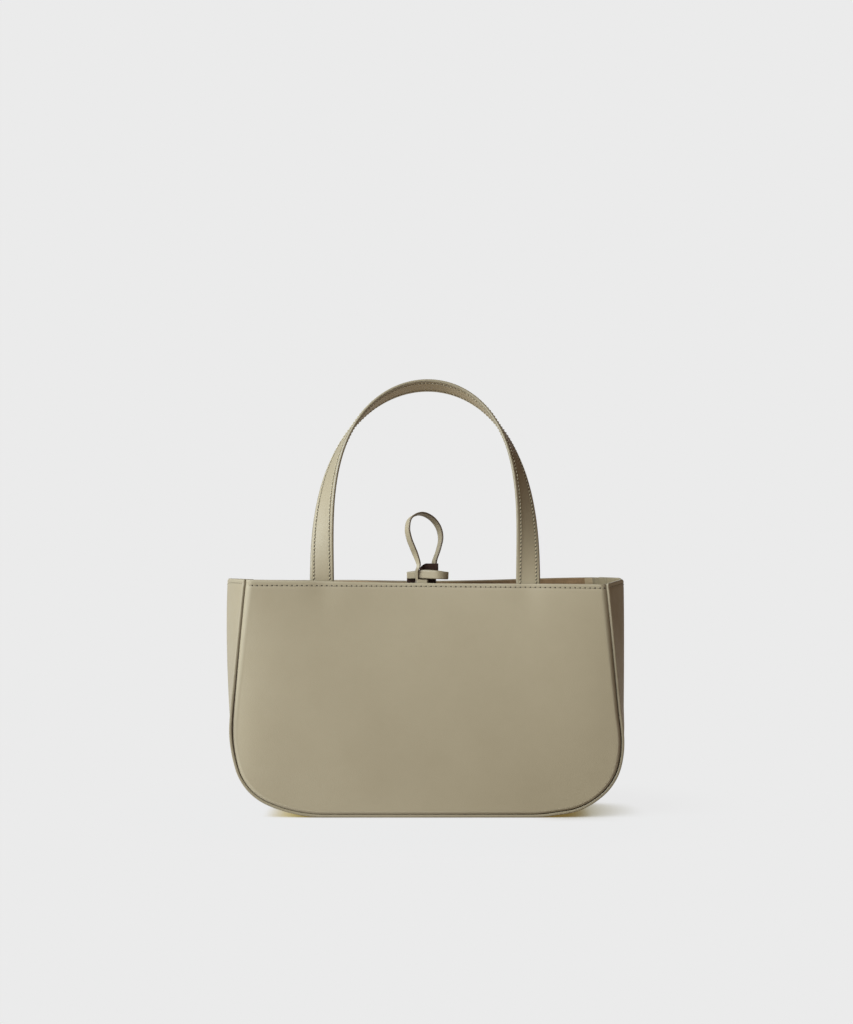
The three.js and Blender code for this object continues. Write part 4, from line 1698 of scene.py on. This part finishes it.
@dataclass
class ClosureBar:
    """Short strip on edge behind the loop's neck; it bulges beside it and turns away at its right end."""

    thick: float = 1.6
    steps: int = 8
    # Rows from the left end: place of the middle line, half the strip's height there
    rows: tuple[tuple[float, ...], ...] = (
        (-13.1, -29.5, 169.2, 2.45), (-9.8, -29.9, 169.4, 2.7), (-6.2, -30.35, 169.75, 2.9),
        (-3.4, -30.9, 170.1, 3.1), (0.0, -31.7, 170.1, 3.15), (4.0, -32.7, 169.95, 3.15),
        (8.6, -33.6, 169.7, 3.05), (11.8, -32.9, 169.4, 2.85), (13.8, -31.6, 169.2, 2.75),
        (15.6, -29.9, 169.05, 2.65),
    )

    def strap(self) -> Strap:
        """Stand the strip along its rows.

        Returns:
            The strip from its left end to its right end.
        """
        path = smooth_path(np.array(self.rows), self.steps)
        centres, half = path[:, :3], path[:, 3]
        along = unit(np.gradient(centres, axis=0))
        upright = squared_to(np.array([0.0, 0.0, 1.0]), along)
        width = 2 * half.max()
        return Strap(centres, upright, np.cross(along, upright), width, self.thick, left=half, right=half)

    def build(self, finishes: Finishes) -> None:
        """Make the bar.

        Args:
            finishes: Materials of the bag.
        """
        leather = (finishes.grain, finishes.grain, finishes.edge)
        self.strap().shape().piece("closure_bar_leather", leather, Slot.STRAP, ("closure_bar",))


@dataclass
class ClosureTab:
    """Strip from the back panel over the mouth, turned up behind the bar with its brown side to the front."""

    body: BodyForm
    thick: float = 1.6
    stem_left: float = 13.2
    stem_right: float = 2.5
    neck_right: float = 6.6
    neck_top: float = 168.6
    head_right: float = 9.0
    head_y: float = -27.6
    head_points: int = 40
    stem_z: float = 163.5
    top: float = 177.6
    # The head's left edge: height, distance from the middle; it steps in behind the bar and ends in a slant
    corner: tuple[tuple[float, float], ...] = (
        (169.4, 13.2), (169.7, 4.4), (172.8, 4.4), (174.4, 4.1), (175.6, 3.2), (176.6, 1.9), (177.2, 0.8),
        (177.6, 0.0),
    )
    sew_depth: float = 14.0
    bend: float = 1.8
    bend_points: int = 9
    shoulder: float = 0.2
    foot_clear: float = 1.0

    def rows(self) -> Array:
        """List the strip from its sewn foot, over the mouth, to the top of its head.

        Returns:
            For each row y, z, pitch and the reach to the right.
        """
        body, bend, flat = self.body, self.bend, -math.pi / 2
        foot = body.top_height - BACK.sag - self.sew_depth
        heights = np.array([foot, body.top_height])
        foot_y, sewn_y = body.inside_y(BACK, 0.0, heights, self.thick)
        rows = [(foot_y - self.foot_clear, foot, 0.0, self.stem_right)]
        for pitch in np.linspace(0, flat, self.bend_points):
            y = sewn_y - bend * (1 - math.cos(pitch))
            rows.append((y, self.stem_z - bend - bend * math.sin(pitch), pitch, self.stem_right))
        rows.append((self.head_y + bend + self.shoulder, self.stem_z, flat, self.stem_right))
        for pitch in np.linspace(flat, 0, self.bend_points):
            y = self.head_y + bend * (1 - math.cos(pitch))
            rows.append((y, self.stem_z + bend + bend * math.sin(pitch), pitch, self.neck_right))
        for z in np.linspace(self.stem_z + bend + self.shoulder, self.top, self.head_points):
            rows.append((self.head_y, z, 0.0, self.neck_right if z < self.neck_top else self.head_right))
        return np.array(rows)

    def strap(self) -> Strap:
        """Lay the strip along its rows.

        Returns:
            The strip from its foot to its head.
        """
        y, z, pitch, right = self.rows().T
        left = np.where(y < self.head_y + self.bend, np.interp(z, *np.array(self.corner).T), self.stem_left)
        nothing = np.zeros_like(y)
        across = np.tile([1.0, 0.0, 0.0], (len(y), 1))
        normals = np.stack([nothing, np.cos(pitch), -np.sin(pitch)], axis=1)
        centres = np.stack([nothing, y, z], axis=1)
        width = self.stem_left + self.head_right
        return Strap(centres, across, normals, width, self.thick, left=left, right=right)

    def build(self, finishes: Finishes) -> None:
        """Make the tab.

        Args:
            finishes: Materials of the bag.
        """
        # Inside and edges take the nearly black flesh side: the brown flesh with its deep shade painted in
        leather = (finishes.grain, finishes.flesh_painted_deep_shade, finishes.flesh_painted_deep_shade)
        self.strap().shape().piece("closure_tab_leather", leather, Slot.FLESH, ("closure_tab",))


@dataclass
class Studio:
    """Pale paper, soft light from the upper left and a camera a little above the bag, in millimetres."""

    camera_place: tuple[float, float, float] = (0.65, -1642.0, 213.9)
    lens_mm: float = 80.4
    sensor_mm: float = 36.0
    clip_metres: tuple[float, float] = (0.01, 100.0)
    floor_half: float = 6000.0
    key_place: tuple[float, float, float] = (-8000.0, -6000.0, 6090.0)
    key_target: tuple[float, float, float] = (0.0, 0.0, 110.0)
    key_size: float = 8400.0
    key_watts: float = 3530.0
    key_colour: str = "#F0FBFF"
    pale: str = "#EBEBEB"
    window_side: str = "#818DA6"
    warm_side: str = "#6A4C30"
    # Directions, as shares of one, between which the sides and the back of the room change
    sides_span: tuple[float, float] = (-0.7, 0.5)
    back_span: tuple[float, float] = (0.8, 0.955)
    paper_colour: str = "#282828"
    paper_glow: float = 0.963

    def camera(self) -> None:
        """Stand the camera where the photograph was taken from."""
        lens = bpy.data.cameras.new("camera")
        lens.lens, lens.sensor_width = self.lens_mm, self.sensor_mm
        lens.clip_start, lens.clip_end = self.clip_metres
        camera = bpy.data.objects.new("camera", lens)
        camera.location = [v * MM for v in self.camera_place]
        camera.rotation_euler = (math.pi / 2, 0, 0)
        bpy.context.scene.collection.objects.link(camera)
        bpy.context.scene.camera = camera

    def room(self) -> None:
        """Give the room a pale look, and for its light a cool window side on the left and a warm right."""
        world = bpy.data.worlds.new("studio_room")
        world.use_nodes = True
        tree = world.node_tree
        tree.nodes.clear()
        direction = add_node(tree, "ShaderNodeTexCoord", output="Generated")
        x, y = add_node(tree, "ShaderNodeSeparateXYZ", {0: direction}).node.outputs[:2]
        aside, behind = (
            add_node(tree, "ShaderNodeMapRange",
                     {"Value": value, "From Min": span[0], "From Max": span[1]}, **SOFTLY)
            for value, span in ((x, self.sides_span), (y, self.back_span)))
        sides = add_node(tree, "ShaderNodeMix", {
            MIX_FACTOR: aside, MIX_A: linear(self.window_side), MIX_B: linear(self.warm_side)}, **COLOURS)
        seen = add_node(tree, "ShaderNodeLightPath", output="Is Camera Ray")
        given, pale = sides, linear(self.pale)
        for share in (behind, seen):
            given = add_node(tree, "ShaderNodeMix", {
                MIX_FACTOR: share, MIX_A: given, MIX_B: pale}, **COLOURS)
        glow = add_node(tree, "ShaderNodeBackground", {"Color": given, "Strength": 1.0})
        add_node(tree, "ShaderNodeOutputWorld", {"Surface": glow})
        bpy.context.scene.world = world

    def floor(self) -> None:
        """Lay the paper that the bag stands on."""
        half = self.floor_half * MM
        corners = [(-half, -half, 0), (half, -half, 0), (half, half, 0), (-half, half, 0)]
        mesh = bpy.data.meshes.new("floor")
        mesh.from_pydata(corners, [], [(0, 1, 2, 3)])
        paper = StudioPaper("background_paper", self.paper_colour, self.pale, self.paper_glow)
        mesh.materials.append(paper.material())
        made = bpy.data.objects.new("floor", mesh)
        bpy.context.scene.collection.objects.link(made)

    def key(self) -> None:
        """Hang the one soft light and aim it at the bag."""
        lamp = bpy.data.lights.new("key", "AREA")
        lamp.shape, lamp.size, lamp.energy = "SQUARE", self.key_size * MM, self.key_watts
        lamp.color = linear(self.key_colour)[:3]
        made = bpy.data.objects.new("key", lamp)
        made.location = [v * MM for v in self.key_place]
        x, y, z = np.array(self.key_target) - np.array(self.key_place)
        made.rotation_euler = (math.atan2(math.hypot(x, y), -z), 0, math.atan2(x, -y) + math.pi)
        bpy.context.scene.collection.objects.link(made)

    def build(self) -> None:
        """Set up camera, room, paper and light."""
        bpy.context.scene.view_settings.view_transform = "Standard"
        self.camera()
        self.room()
        self.floor()
        self.key()


def main() -> None:
    """Build the studio and then each part of the bag."""
    logging.basicConfig(level=logging.INFO, format="%(name)s: %(message)s")
    Studio().build()
    finishes = Finishes()
    body = BodyForm()
    parts = (Panel(body, FRONT), Panel(body, BACK), Gusset(body), Handle(body), ClosureLoop(body),
             ClosureBar(), ClosureTab(body))
    for part in parts:
        part.build(finishes)
        LOG.info("built %s", type(part).__name__)


if __name__ == "__main__":
    main()
